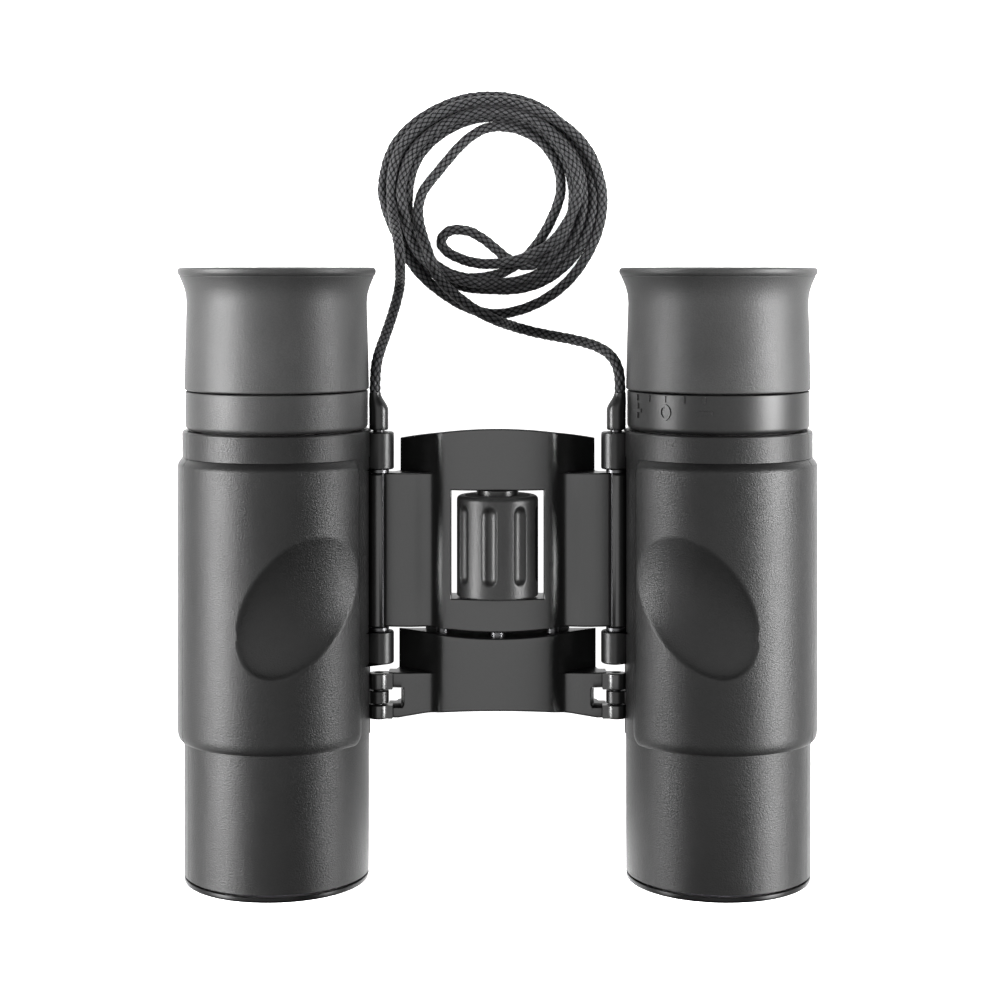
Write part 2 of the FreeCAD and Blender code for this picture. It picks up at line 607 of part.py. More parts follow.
# ---- write every node --------------------------------------------------------------------------------
def main():
    os.makedirs("parts", exist_ok=True)
    save("bridge_body", make_bridge_body())
    save("left_hinge_pin", make_hinge_pin(-HINGE_X))
    save("right_hinge_pin", make_hinge_pin(HINGE_X))
    save("hinge_washers", make_hinge_washers())
    save("left_lanyard_cap", make_lanyard_cap(-HINGE_X))
    save("right_lanyard_cap", make_lanyard_cap(HINGE_X))
    save("wheel_thrust_washer", make_thrust_washer())
    save("focus_guide_rods", make_guide_rods())
    save("focus_wheel_core", make_wheel_core())
    save("focus_wheel_grip", make_wheel_grip())
    save("focus_screw", make_focus_screw())
    save("focus_slider", make_focus_slider())
    save("focus_nut", make_focus_nut())
    save("focus_link_pins", make_link_pins())
    save_pair("barrel_tube", make_barrel_tube())
    save_pair("armour", make_armour())
    save_pair("objective_bezel", make_objective_bezel())
    save_pair("prism_cage", make_prism_cage())
    save_pair("half_penta_prism", make_half_penta_prism())
    save_pair("roof_prism", make_roof_prism())
    save_pair("prism_clip", make_prism_clip())
    save_pair("objective_cell", make_objective_cell())
    save_pair("objective_lens", lens(-BARREL_X, LENS_R, (LENS_FRONT_Y, LENS_REAR_Y), LENS_BULGE, 0.0))
    save_pair("objective_lens_ring", make_lens_ring())
    save_pair("focus_arm", make_focus_arm())
    save_pair("field_lens", lens(-BARREL_X, FIELD_LENS_R, FIELD_LENS_Y, 0.5, 0.9))
    save_pair("eye_lens", lens(-BARREL_X, EYE_LENS_R, EYE_LENS_Y, 0.9, 1.3))
    save_pair("eyecup_sleeve", make_eyecup_sleeve())
    save_pair("eyecup", make_eyecup())
    save("left_eyepiece_housing", make_eyepiece_housing(False))
    save("right_eyepiece_housing", mirrored(make_eyepiece_housing(True)))
    save("left_eyepiece_cell", make_eyepiece_cell(False))
    save("right_eyepiece_cell", mirrored(make_eyepiece_cell(True)))
    save("left_eyepiece_ring", ring_shape(HOUSING_R))
    save("right_diopter_ring", mirrored(make_diopter_ring()))
    save("right_diopter_pin", mirrored(make_diopter_pin()))
    save("cord_left_lead", make_cord(LEFT_LEAD, "left lead"))
    save("cord_right_lead", make_cord(RIGHT_LEAD, "right lead"))
    save("cord_coil", make_cord_coil())


main()
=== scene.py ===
import math

import bmesh
import bpy
import numpy as np
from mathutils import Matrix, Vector


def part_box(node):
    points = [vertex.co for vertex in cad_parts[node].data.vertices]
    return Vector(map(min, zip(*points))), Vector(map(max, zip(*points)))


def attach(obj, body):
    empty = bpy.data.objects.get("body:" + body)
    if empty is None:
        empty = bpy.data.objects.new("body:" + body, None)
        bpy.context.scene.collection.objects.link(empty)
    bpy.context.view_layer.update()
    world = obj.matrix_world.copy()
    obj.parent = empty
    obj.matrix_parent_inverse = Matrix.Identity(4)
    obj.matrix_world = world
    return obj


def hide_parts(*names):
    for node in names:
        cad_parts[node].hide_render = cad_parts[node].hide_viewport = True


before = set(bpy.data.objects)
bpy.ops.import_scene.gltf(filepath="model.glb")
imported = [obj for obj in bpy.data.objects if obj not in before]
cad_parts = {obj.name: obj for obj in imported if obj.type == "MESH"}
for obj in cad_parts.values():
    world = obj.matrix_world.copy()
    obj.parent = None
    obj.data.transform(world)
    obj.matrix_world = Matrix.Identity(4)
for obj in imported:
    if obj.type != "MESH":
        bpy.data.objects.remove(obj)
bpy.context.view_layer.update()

# Sizes are in millimetres and become metres when a mesh is made.
MM = 0.001

# ---- the frame's driving dimensions --------------------------------------------------------
cup_low, cup_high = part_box("left_eyecup")
AXIS_Z = (cup_low.z + cup_high.z) / 2 / MM        # optical and hinge axes above the table
BARREL_X = -(cup_low.x + cup_high.x) / 2 / MM     # optical axes from the middle
REAR_Y = cup_high.y / MM                          # rim of the eyecups
pin_low, pin_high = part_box("left_hinge_pin")
HINGE_X = -(pin_low.x + pin_high.x) / 2 / MM      # hinge axes from the middle
HINGE_FROM_BARREL = BARREL_X - HINGE_X
TUBE_R = 15.0
TUBE_FRONT_Y = -51.1


# ---- mesh helpers --------------------------------------------------------------------------
def smooth_mesh(mesh, sharp_angle):
    """Smooth shading with edges sharper than the angle kept crisp."""
    mesh.polygons.foreach_set("use_smooth", [True] * len(mesh.polygons))
    mesh.set_sharp_from_angle(angle=math.radians(sharp_angle))


def finish_piece(obj, material, body, replaced=(), bevel=0.0, bevel_angle=35.0):
    """Give a piece its material, softened edges and body, and hide the CAD nodes it stands for."""
    obj.data.materials.clear()
    obj.data.materials.append(material)
    if bevel > 0:
        modifier = obj.modifiers.new("soft_edges", "BEVEL")
        modifier.width = bevel * MM
        modifier.segments = 3
        modifier.limit_method = "ANGLE"
        modifier.angle_limit = math.radians(bevel_angle)
        modifier.harden_normals = True
    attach(obj, body)
    if replaced:
        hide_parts(*replaced)


def piece_from(name, verts, faces, sharp_angle=35.0):
    """A mesh object from points in millimetres, welded and with outward faces."""
    mesh = bpy.data.meshes.new(name)
    mesh.from_pydata([tuple(float(c) * MM for c in v) for v in verts], [], faces)
    bm = bmesh.new()
    bm.from_mesh(mesh)
    bmesh.ops.remove_doubles(bm, verts=bm.verts, dist=0.004 * MM)
    bmesh.ops.dissolve_degenerate(bm, edges=bm.edges, dist=0.002 * MM)
    bmesh.ops.recalc_face_normals(bm, faces=bm.faces)
    bm.to_mesh(mesh)
    bm.free()
    smooth_mesh(mesh, sharp_angle)
    obj = bpy.data.objects.new(name, mesh)
    bpy.context.scene.collection.objects.link(obj)
    return obj


def join_parts(parts):
    """One list of points and faces from several."""
    verts, faces = [], []
    for part_verts, part_faces in parts:
        base = len(verts)
        verts.extend(part_verts)
        faces.extend([tuple(index + base for index in face) for face in part_faces])
    return verts, faces


def grid_faces(rows, columns, closed_rows=False, closed_columns=False):
    """Quads of a grid whose points are stored row by row."""
    faces = []
    for row in range(rows if closed_rows else rows - 1):
        below = (row + 1) % rows
        for column in range(columns if closed_columns else columns - 1):
            beside = (column + 1) % columns
            faces.append((row * columns + column, row * columns + beside,
                          below * columns + beside, below * columns + column))
    return faces


def capped_faces(rings, around):
    """Faces of a tube whose rings are stored one after another, with both ends closed."""
    faces = grid_faces(rings, around, False, True)
    faces.append(tuple(range(around)))
    faces.append(tuple(range(rings * around - 1, (rings - 1) * around - 1, -1)))
    return faces


def quarter_round(steps):
    """Shares of a radius at even angles round a quarter circle, from 0 to 1."""
    return [1 - math.cos(math.pi / 2 * i / steps) for i in range(steps + 1)]


def lathe(profile, x, segments=160):
    """A closed (radius, y) outline turned about the optical axis at x."""
    verts = []
    for radius, y in profile:
        for index in range(segments):
            turn = 2 * math.pi * index / segments
            verts.append((x + radius * math.sin(turn), y, AXIS_Z + radius * math.cos(turn)))
    return verts, grid_faces(len(profile), segments, True, True)


def rounded(profile, corners, steps=5):
    """The closed outline with the corners named in {index: radius} rounded."""
    out = []
    count = len(profile)
    for index, corner in enumerate(profile):
        radius = corners.get(index, 0.0)
        here = Vector(corner)
        if radius <= 0:
            out.append(tuple(here))
            continue
        before = (Vector(profile[index - 1]) - here)
        after = (Vector(profile[(index + 1) % count]) - here)
        half = before.angle(after) / 2
        reach = min(radius / math.tan(half), before.length * 0.49, after.length * 0.49)
        start = here + before.normalized() * reach
        end = here + after.normalized() * reach
        for step in range(steps + 1):
            t = step / steps
            out.append(tuple(start * (1 - t) ** 2 + here * 2 * t * (1 - t) + end * t ** 2))
    return out


def copy_of(node, name):
    """A new object with its own welded copy of a CAD node's mesh, flat faces made whole."""
    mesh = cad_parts[node].data.copy()
    mesh.name = name
    bm = bmesh.new()
    bm.from_mesh(mesh)
    bmesh.ops.remove_doubles(bm, verts=bm.verts, dist=0.003 * MM)
    bmesh.ops.dissolve_degenerate(bm, edges=bm.edges, dist=0.002 * MM)
    bmesh.ops.dissolve_limit(bm, angle_limit=math.radians(1.0), verts=bm.verts, edges=bm.edges)
    bmesh.ops.recalc_face_normals(bm, faces=bm.faces)
    bm.to_mesh(mesh)
    bm.free()
    smooth_mesh(mesh, 35.0)
    obj = bpy.data.objects.new(mesh.name, mesh)
    bpy.context.scene.collection.objects.link(obj)
    return obj


# ---- materials -----------------------------------------------------------------------------
def new_material(name):
    material = bpy.data.materials.new(name)
    material.use_nodes = True
    tree = material.node_tree
    tree.nodes.clear()
    output = tree.nodes.new("ShaderNodeOutputMaterial")
    shader = tree.nodes.new("ShaderNodeBsdfPrincipled")
    tree.links.new(shader.outputs["BSDF"], output.inputs["Surface"])
    return material, tree, shader


def noise(tree, vector, scale, detail=2.0, rough=0.5):
    node = tree.nodes.new("ShaderNodeTexNoise")
    node.inputs["Scale"].default_value = scale
    node.inputs["Detail"].default_value = detail
    node.inputs["Roughness"].default_value = rough
    tree.links.new(vector, node.inputs["Vector"])
    return node.outputs["Fac"]


def ramp(tree, value, stops):
    """A colour ramp; each stop is (position, (r, g, b))."""
    node = tree.nodes.new("ShaderNodeValToRGB")
    elements = node.color_ramp.elements
    while len(elements) < len(stops):
        elements.new(0.5)
    for element, (position, colour) in zip(elements, stops):
        element.position = position
        element.color = (*colour, 1.0)
    tree.links.new(value, node.inputs["Fac"])
    return node.outputs["Color"]


def spread(tree, value, low, high):
    """Map a 0..1 value to a range."""
    node = tree.nodes.new("ShaderNodeMapRange")
    node.inputs["To Min"].default_value = low
    node.inputs["To Max"].default_value = high
    tree.links.new(value, node.inputs["Value"])
    return node.outputs["Result"]


def multiply(tree, first, second):
    """The product of two colours."""
    node = tree.nodes.new("ShaderNodeMix")
    node.data_type = "RGBA"
    node.blend_type = "MULTIPLY"
    node.inputs["Factor"].default_value = 1.0
    tree.links.new(first, node.inputs["A"])
    tree.links.new(second, node.inputs["B"])
    return node.outputs["Result"]


def calculate(tree, operation, first, second=None):
    """A math node's result; second is another socket or a number."""
    node = tree.nodes.new("ShaderNodeMath")
    node.operation = operation
    tree.links.new(first, node.inputs[0])
    if isinstance(second, float):
        node.inputs[1].default_value = second
    elif second is not None:
        tree.links.new(second, node.inputs[1])
    return node.outputs["Value"]


def bump(tree, height, strength, distance, below=None):
    node = tree.nodes.new("ShaderNodeBump")
    node.inputs["Strength"].default_value = strength
    node.inputs["Distance"].default_value = distance
    tree.links.new(height, node.inputs["Height"])
    if below is not None:
        tree.links.new(below, node.inputs["Normal"])
    return node.outputs["Normal"]


def object_coordinates(tree):
    return tree.nodes.new("ShaderNodeTexCoord").outputs["Object"]


def moulded(name, grey, roughness, grain_size, grain_depth, mottle=0.25, specular=0.5):
    """Moulded rubber or plastic: fine grain, faint patches of shade and gloss.

    The grain's size and depth are in millimetres."""
    material, tree, shader = new_material(name)
    place = object_coordinates(tree)
    fine = noise(tree, place, 1.0 / (grain_size * MM), 3.0, 0.6)
    patches = noise(tree, place, 90.0, 3.0, 0.5)
    dark, light = (grey * (1 - mottle),) * 3, (grey * (1 + mottle),) * 3
    shade = ramp(tree, patches, [(0.3, dark), (0.7, light)])
    fleck = ramp(tree, fine, [(0.35, (0.78,) * 3), (0.62, (1.18,) * 3)])
    tree.links.new(multiply(tree, shade, fleck), shader.inputs["Base Color"])
    gloss = spread(tree, patches, roughness - 0.05, roughness + 0.05)
    tree.links.new(gloss, shader.inputs["Roughness"])
    shader.inputs["Specular IOR Level"].default_value = specular
    tree.links.new(bump(tree, fine, 1.0, grain_depth * MM), shader.inputs["Normal"])
    return material


def machined(name, colour, roughness):
    """Turned metal with fine rings and slight wear."""
    material, tree, shader = new_material(name)
    place = object_coordinates(tree)
    stretch = tree.nodes.new("ShaderNodeMapping")
    stretch.inputs["Scale"].default_value = (0.15, 4.0, 0.15)
    tree.links.new(place, stretch.inputs["Vector"])
    rings = noise(tree, stretch.outputs["Vector"], 1500.0, 2.0)
    wear = noise(tree, place, 220.0, 4.0)
    dark = tuple(c * 0.8 for c in colour)
    tree.links.new(ramp(tree, wear, [(0.35, dark), (0.65, colour)]), shader.inputs["Base Color"])
    shader.inputs["Metallic"].default_value = 1.0
    tree.links.new(spread(tree, rings, roughness - 0.06, roughness + 0.1), shader.inputs["Roughness"])
    tree.links.new(bump(tree, rings, 0.4, 0.01 * MM), shader.inputs["Normal"])
    return material


def glass(name, tint, coat_tint=None):
    """Optical glass with faint dust; a coated face gets a coloured sheen."""
    material, tree, shader = new_material(name)
    place = object_coordinates(tree)
    dust = noise(tree, place, 1800.0, 4.0, 0.7)
    haze = noise(tree, place, 140.0, 2.0)
    tree.links.new(ramp(tree, haze, [(0.3, tuple(c * 0.92 for c in tint)), (0.7, tint)]),
                   shader.inputs["Base Color"])
    tree.links.new(spread(tree, dust, 0.0, 0.05), shader.inputs["Roughness"])
    shader.inputs["Transmission Weight"].default_value = 1.0
    shader.inputs["IOR"].default_value = 1.52
    if coat_tint is not None:
        shader.inputs["Coat Weight"].default_value = 0.6
        shader.inputs["Coat Roughness"].default_value = 0.03
        shader.inputs["Coat Tint"].default_value = (*coat_tint, 1.0)
        shader.inputs["Specular Tint"].default_value = (*coat_tint, 1.0)
    return material


def cord_material(name):
    """Braided nylon: bright filaments on dark yarns, with shade painted black into the creases where they
    cross.
    """
    material, tree, shader = new_material(name)
    uv = tree.nodes.new("ShaderNodeUVMap")
    uv.uv_map = "braid"
    place = object_coordinates(tree)
    strands = tree.nodes.new("ShaderNodeMapping")
    strands.inputs["Scale"].default_value = (3.0, 14.0, 1.0)
    tree.links.new(uv.outputs["UV"], strands.inputs["Vector"])
    filament = noise(tree, strands.outputs["Vector"], 2.2, 3.0, 0.7)
    fuzz = noise(tree, place, 3800.0, 3.0, 0.7)
    body = ramp(tree, filament, [(0.35, (0.004, 0.004, 0.004)), (0.52, (0.014, 0.014, 0.015)),
                                 (0.68, (0.075, 0.075, 0.078))])
    parts = tree.nodes.new("ShaderNodeSeparateXYZ")
    tree.links.new(uv.outputs["UV"], parts.inputs["Vector"])
    waves = []
    for axis in ("X", "Y"):
        turn = calculate(tree, "MULTIPLY", parts.outputs[axis], math.pi)
        waves.append(calculate(tree, "ABSOLUTE", calculate(tree, "SINE", turn)))
    pillow = calculate(tree, "MULTIPLY", *waves)
    # painted shade: the colour falls to black in the creases between the braid's diamonds
    painted_groove_shade = ramp(tree, pillow, [(0.02, (0.0,) * 3), (0.45, (1.0,) * 3)])
    fleck = ramp(tree, fuzz, [(0.45, (0.75,) * 3), (0.68, (2.2,) * 3)])
    colour = multiply(tree, multiply(tree, body, fleck), painted_groove_shade)
    tree.links.new(colour, shader.inputs["Base Color"])
    gloss = calculate(tree, "MULTIPLY", pillow, 0.30)
    tree.links.new(gloss, shader.inputs["Specular IOR Level"])
    tree.links.new(spread(tree, fuzz, 0.35, 0.65), shader.inputs["Roughness"])
    shader.inputs["Sheen Weight"].default_value = 0.03
    shader.inputs["Sheen Roughness"].default_value = 0.4
    lower = bump(tree, filament, 0.6, 0.05 * MM)
    tree.links.new(bump(tree, fuzz, 0.5, 0.03 * MM, lower), shader.inputs["Normal"])
    return material


ARMOUR = moulded("armour_rubber", 0.003, 0.42, 0.27, 0.060, specular=0.19)
CUP_RUBBER = moulded("eyecup_rubber", 0.012, 0.52, 0.27, 0.040, specular=0.30)
RING_RUBBER = moulded("eyepiece_ring_rubber", 0.010, 0.50, 0.27, 0.050, specular=0.28)
DIOPTER = moulded("diopter_satin", 0.005, 0.42, 0.30, 0.010, mottle=0.12, specular=0.22)
BRIDGE = moulded("bridge_satin", 0.003, 0.30, 0.35, 0.012, mottle=0.15)
BEZEL = moulded("bezel_black", 0.002, 0.30, 0.30, 0.003, mottle=0.15, specular=0.12)
GLOSSY = moulded("glossy_black", 0.002, 0.34, 0.30, 0.006, mottle=0.15, specular=0.28)
BARREL = moulded("barrel_plastic", 0.002, 0.38, 0.30, 0.010, mottle=0.15, specular=0.25)
WHEEL_RUBBER = moulded("wheel_rubber", 0.006, 0.42, 0.30, 0.030, specular=0.25)
INNER = moulded("inner_black", 0.012, 0.72, 0.30, 0.015, mottle=0.3)
CELL = moulded("lens_cell_black", 0.014, 0.60, 0.25, 0.010, mottle=0.2)
STEEL = machined("steel", (0.06, 0.06, 0.062), 0.34)
SPRING = machined("spring_steel", (0.42, 0.44, 0.48), 0.26)
BRASS = machined("brass", (0.62, 0.45, 0.20), 0.32)
COATED = glass("coated_glass", (0.97, 0.98, 1.0), (0.45, 0.30, 0.62))
PRISM = glass("prism_glass", (0.98, 1.0, 0.99))
CORD = cord_material("braided_cord")


# ---- camera --------------------------------------------------------------------------------
CAMERA_Y = 51.7
CAMERA_HEIGHT = 378.0
FOCAL_LENGTH = 75.6
SENSOR_WIDTH = 36.0
FRAMING_SHIFT = (0.0025, -0.229)

camera = bpy.data.objects.new("camera", bpy.data.cameras.new("camera"))
bpy.context.scene.collection.objects.link(camera)
camera.location = (0.0, CAMERA_Y * MM, CAMERA_HEIGHT * MM)
camera.rotation_euler = (0.0, 0.0, 0.0)
camera.data.lens = FOCAL_LENGTH
camera.data.sensor_width = SENSOR_WIDTH
camera.data.shift_x, camera.data.shift_y = FRAMING_SHIFT
bpy.context.scene.camera = camera


# ---- neck cord -----------------------------------------------------------------------------
CORD_R = 0.9
CORD_D = 2 * CORD_R
ON_TABLE = CORD_R + 0.05
CONTACT = 0.93 * CORD_D       # between the middles of two stretches that press on each other
HUMP_SLOPE = 0.30
LINE_SPACING = 0.17
PLAITS = 6
CELL_LENGTH = 1.55
BRAID_RELIEF = 0.20
POINTS_AROUND = 32
COIL_CENTRE = (-1.0, 64.3)

LEFT_LEAD = [(-21.05, 30.8, 17.0), (-21.05, 33.2, 16.9), (-20.9, 35.7, 15.9), (-20.4, 38.0, 13.6),
             (-19.7, 40.2, 10.4), (-18.9, 42.9, 7.0), (-18.1, 45.9, 3.9), (-17.4, 49.3, 1.8),
             (-17.0, 52.8, 0.95), (-17.3, 56.3, 0.95)]
RIGHT_LEAD = [(21.05, 30.8, 17.0), (21.1, 33.0, 16.8), (20.75, 35.2, 15.9), (19.75, 37.1, 14.4),
              (17.55, 38.55, 11.9), (14.5, 39.4, 8.6), (11.0, 40.0, 5.3), (7.2, 40.6, 2.7),
              (3.3, 41.6, 1.3), (-0.6, 43.1, 0.95), (-4.7, 45.2, 0.95)]

# The coil's turns as (angle in degrees, radius) about its middle. The cord winds clockwise inwards,
# turns back on itself at the small bight and winds out again.
OUTER_TURN = [(186, 18.0), (165, 18.7), (150, 19.1), (120, 18.2), (90, 18.0), (60, 18.1), (30, 19.6),
              (0, 20.1), (-30, 19.8), (-60, 20.2), (-90, 20.6), (-120, 18.8), (-150, 18.2)]
SECOND_TURN = [(-180, 19.8), (-210, 20.4), (-240, 19.3), (-270, 18.9), (-300, 19.0), (-330, 18.4),
               (-360, 18.3), (-390, 18.0), (-420, 17.2), (-450, 15.9), (-480, 16.6), (-510, 17.3)]
BURIED_TURN = [(-540, 17.5), (-570, 18.0), (-600, 17.2), (-630, 17.1), (-660, 17.2), (-690, 16.8),
               (-720, 16.6), (-750, 16.2), (-780, 15.6), (-810, 14.8), (-840, 15.6), (-870, 16.4)]
INNER_TURN = [(-900, 16.4), (-930, 16.8), (-960, 16.1), (-990, 16.1), (-1020, 16.4), (-1050, 16.0),
              (-1080, 15.7)]
TAIL = [(-1110, 13.6), (-1128, 12.4), (-1146, 11.7), (-1164, 11.4), (-1182, 11.6), (-1198, 11.9),
        (-1212, 12.3), (-1221, 12.0)]
BIGHT = [(-1226, 10.2), (-1222, 8.2), (-1206, 6.7), (-1184, 6.9), (-1167, 8.4), (-1157, 10.4),
         (-1148, 12.4), (-1138, 13.8), (-1122, 14.4)]
RETURN_TURN = [(-1100, 14.7), (-1080, 14.8), (-1050, 15.1), (-1020, 15.6), (-990, 15.2), (-960, 15.1),
               (-930, 15.5), (-900, 15.2), (-870, 15.5), (-850, 15.6), (-830, 15.0), (-810, 13.6),
               (-787, 12.2), (-770, 11.5), (-750, 11.1), (-730, 11.5), (-713, 12.6), (-695, 13.4),
               (-670, 13.9), (-645, 13.7)]
LAST_TURN = [(-628, 13.4), (-614, 12.4), (-599, 11.4), (-579.5, 10.8), (-562, 11.3), (-548, 12.6),
             (-534, 13.4), (-520, 13.7), (-507, 14.2), (-494, 15.4), (-483, 17.2)]


def turn_points(nodes, step=15.0):
    """Points every few degrees along one stretch of the coil, lying on the table."""
    points = []
    for (angle, radius), (next_angle, next_radius) in zip(nodes, nodes[1:] + nodes[-1:]):
        count = max(1, round(abs(next_angle - angle) / step))
        for index in range(count):
            t = index / count
            ease = 0.5 - 0.5 * math.cos(math.pi * t)
            turn = math.radians(angle + (next_angle - angle) * t)
            r = radius + (next_radius - radius) * ease
            x, y = COIL_CENTRE
            points.append((x + r * math.cos(turn), y + r * math.sin(turn), ON_TABLE))
    return points


def cord_route():
    """Control points of the whole cord: in along the left lead, round the coil, out along the right lead.

    Each stretch has a level; it lies on the table or on the stretches of lower levels that it crosses."""
    stretches = [(9, LEFT_LEAD), (3, turn_points(OUTER_TURN)), (0, turn_points(SECOND_TURN)),
                 (2, turn_points(BURIED_TURN)), (4, turn_points(INNER_TURN)), (6, turn_points(TAIL)),
                 (5, turn_points(BIGHT)), (1, turn_points(RETURN_TURN)), (7, turn_points(LAST_TURN)),
                 (8, RIGHT_LEAD[::-1])]
    points = np.array([p for _, stretch in stretches for p in stretch], float)
    level = np.array([rank for rank, stretch in stretches for _ in stretch])
    hanging = (level >= 8) & (points[:, 2] > 1.2)
    along = np.concatenate([[0], np.cumsum(np.linalg.norm(np.diff(points[:, :2], axis=0), axis=1))])
    for rank in range(len(stretches)):
        members = np.where((level == rank) & ~hanging)[0]
        for i in members:
            for j in range(len(points) - 1):
                if max(level[j], level[j + 1]) >= rank or min(abs(i - j), abs(i - j - 1)) < 4:
                    continue
                start, run = points[j], points[j + 1] - points[j]
                t = np.clip(np.dot(points[i, :2] - start[:2], run[:2]) / np.dot(run[:2], run[:2]), 0, 1)
                nearest = start + run * t
                apart = np.linalg.norm(points[i, :2] - nearest[:2])
                if apart < CONTACT:
                    rest = nearest[2] + math.sqrt(CONTACT ** 2 - apart ** 2)
                    points[i, 2] = max(points[i, 2], rest)
        for i in members:
            for j in range(max(0, i - 8), min(len(points), i + 9)):
                if level[j] <= rank:
                    sloped = points[j, 2] - HUMP_SLOPE * abs(along[i] - along[j])
                    points[i, 2] = max(points[i, 2], sloped)
    return points


def smooth_line(points):
    """Evenly spaced points, in millimetres, along the NURBS line of the cord's control points."""
    curve = bpy.data.curves.new("cord_line", "CURVE")
    curve.dimensions = "3D"
    curve.resolution_u = 10
    spline = curve.splines.new("NURBS")
    spline.points.add(len(points) - 1)
    for point, place in zip(spline.points, points):
        point.co = (*[c * MM for c in place], 1.0)
    spline.order_u = 3
    spline.use_endpoint_u = True
    holder = bpy.data.objects.new("cord_line", curve)
    mesh = bpy.data.meshes.new_from_object(holder)
    line = np.array([v.co for v in mesh.vertices]) / MM
    bpy.data.objects.remove(holder)
    bpy.data.meshes.remove(mesh)
    along = np.concatenate([[0], np.cumsum(np.linalg.norm(np.diff(line, axis=0), axis=1))])
    places = np.arange(0.0, along[-1], LINE_SPACING)
    return np.column_stack([np.interp(places, along, line[:, axis]) for axis in range(3)])


def braided_tube(line):
    """A tube with the pillowed diamonds of a round braid."""
    tangents = np.gradient(line, axis=0)
    tangents /= np.linalg.norm(tangents, axis=1)[:, None]
    side = np.cross(tangents[0], (0, 0, 1.0))
    verts, uvs = [], []
    travelled = 0.0
    for index, (place, tangent) in enumerate(zip(line, tangents)):
        if index:
            travelled += np.linalg.norm(place - line[index - 1])
        side = side - tangent * np.dot(side, tangent)
        side /= np.linalg.norm(side)
        up = np.cross(side, tangent)
        for step in range(POINTS_AROUND):
            share = step / POINTS_AROUND
            a = PLAITS * share + travelled / CELL_LENGTH
            b = PLAITS * share - travelled / CELL_LENGTH
            pillow = math.sqrt(abs(math.sin(math.pi * a) * math.sin(math.pi * b)))
            # the yarn on top alternates, so each diamond leans along its own yarn
            lean = 0.25 * math.sin(math.pi * (a - b) * 0.5) * math.sin(math.pi * (a + b) * 0.5)
            radius = CORD_R + BRAID_RELIEF * (pillow * (1 + lean) - 0.62)
            turn = 2 * math.pi * share
            verts.append(place + radius * (math.cos(turn) * side + math.sin(turn) * up))
            uvs.append((a, b))
    return verts, capped_faces(len(line), POINTS_AROUND), uvs


line = smooth_line(cord_route())
verts, faces, uvs = braided_tube(line)
cord_mesh = bpy.data.meshes.new("neck_cord")
cord_mesh.from_pydata([tuple(v * MM) for v in verts], [], faces)
layer = cord_mesh.uv_layers.new(name="braid")
loop_verts = np.zeros(len(cord_mesh.loops), int)
cord_mesh.loops.foreach_get("vertex_index", loop_verts)
layer.data.foreach_set("uv", np.array(uvs, np.float32)[loop_verts].ravel())
smooth_mesh(cord_mesh, 80.0)
neck_cord = bpy.data.objects.new("neck_cord", cord_mesh)
bpy.context.scene.collection.objects.link(neck_cord)
finish_piece(neck_cord, CORD, "bridge", ("cord_left_lead", "cord_coil", "cord_right_lead"))


# ---- floor and light -----------------------------------------------------------------------
FLOOR_HALF = 3.0              # metres, as all of this section's places and sizes
FLOOR_GLOW = 1.1
FILL = 0.02
LIGHT_Y = 0.03
SOFTBOX_X = 0.148
SOFTBOX_HEIGHT = 0.078
SOFTBOX_SIZE = (0.32, 0.052)  # along Y, and upright
SOFTBOX_POWER = 0.33
SOFTBOX_SPREAD = 50.0
OVERHEAD_X = -0.05
OVERHEAD_HEIGHT = 0.45
OVERHEAD_SIZE = (0.50, 0.60)
OVERHEAD_POWER = 2.15

floor_mesh = bpy.data.meshes.new("floor")
floor_corners = [(x * FLOOR_HALF, y * FLOOR_HALF, 0) for x, y in ((-1, -1), (1, -1), (1, 1), (-1, 1))]
floor_mesh.from_pydata(floor_corners, [], [(0, 1, 2, 3)])
floor = bpy.data.objects.new("floor", floor_mesh)
bpy.context.scene.collection.objects.link(floor)
floor_material, floor_tree, floor_shader = new_material("floor_white")
floor_grain = noise(floor_tree, object_coordinates(floor_tree), 40.0)
floor_white = ramp(floor_tree, floor_grain, [(0.3, (0.93,) * 3), (0.7, (0.95,) * 3)])
floor_tree.links.new(floor_white, floor_shader.inputs["Base Color"])
floor_shader.inputs["Roughness"].default_value = 0.9
floor_shader.inputs["Specular IOR Level"].default_value = 0.0
floor_shader.inputs["Emission Color"].default_value = (1.0, 1.0, 1.0, 1.0)
floor_shader.inputs["Emission Strength"].default_value = FLOOR_GLOW
floor.data.materials.append(floor_material)

world = bpy.data.worlds.new("world")
bpy.context.scene.world = world
world.use_nodes = True
background = world.node_tree.nodes["Background"]
background.inputs["Color"].default_value = (1.0, 1.0, 1.0, 1.0)
background.inputs["Strength"].default_value = FILL


def soft_light(name, place, aim, size, power, spread_angle):
    data = bpy.data.lights.new(name, "AREA")
    data.shape = "RECTANGLE"
    data.size, data.size_y = size
    data.energy = power
    data.spread = math.radians(spread_angle)
    light = bpy.data.objects.new(name, data)
    bpy.context.scene.collection.objects.link(light)
    light.location = place
    light.rotation_mode = "QUATERNION"
    light.rotation_quaternion = (Vector(aim) - Vector(place)).to_track_quat("-Z", "Y")
    light.visible_camera = False


for side_sign, name in ((-1, "softbox_left"), (1, "softbox_right")):
    soft_light(name, (side_sign * SOFTBOX_X, LIGHT_Y, SOFTBOX_HEIGHT),
               (side_sign * BARREL_X * MM, LIGHT_Y, 0.020), SOFTBOX_SIZE, SOFTBOX_POWER, SOFTBOX_SPREAD)
soft_light("overhead", (OVERHEAD_X, LIGHT_Y, OVERHEAD_HEIGHT), (0.0, LIGHT_Y, 0.0), OVERHEAD_SIZE,
           OVERHEAD_POWER, 180)
bpy.context.scene.view_settings.view_transform = "Standard"


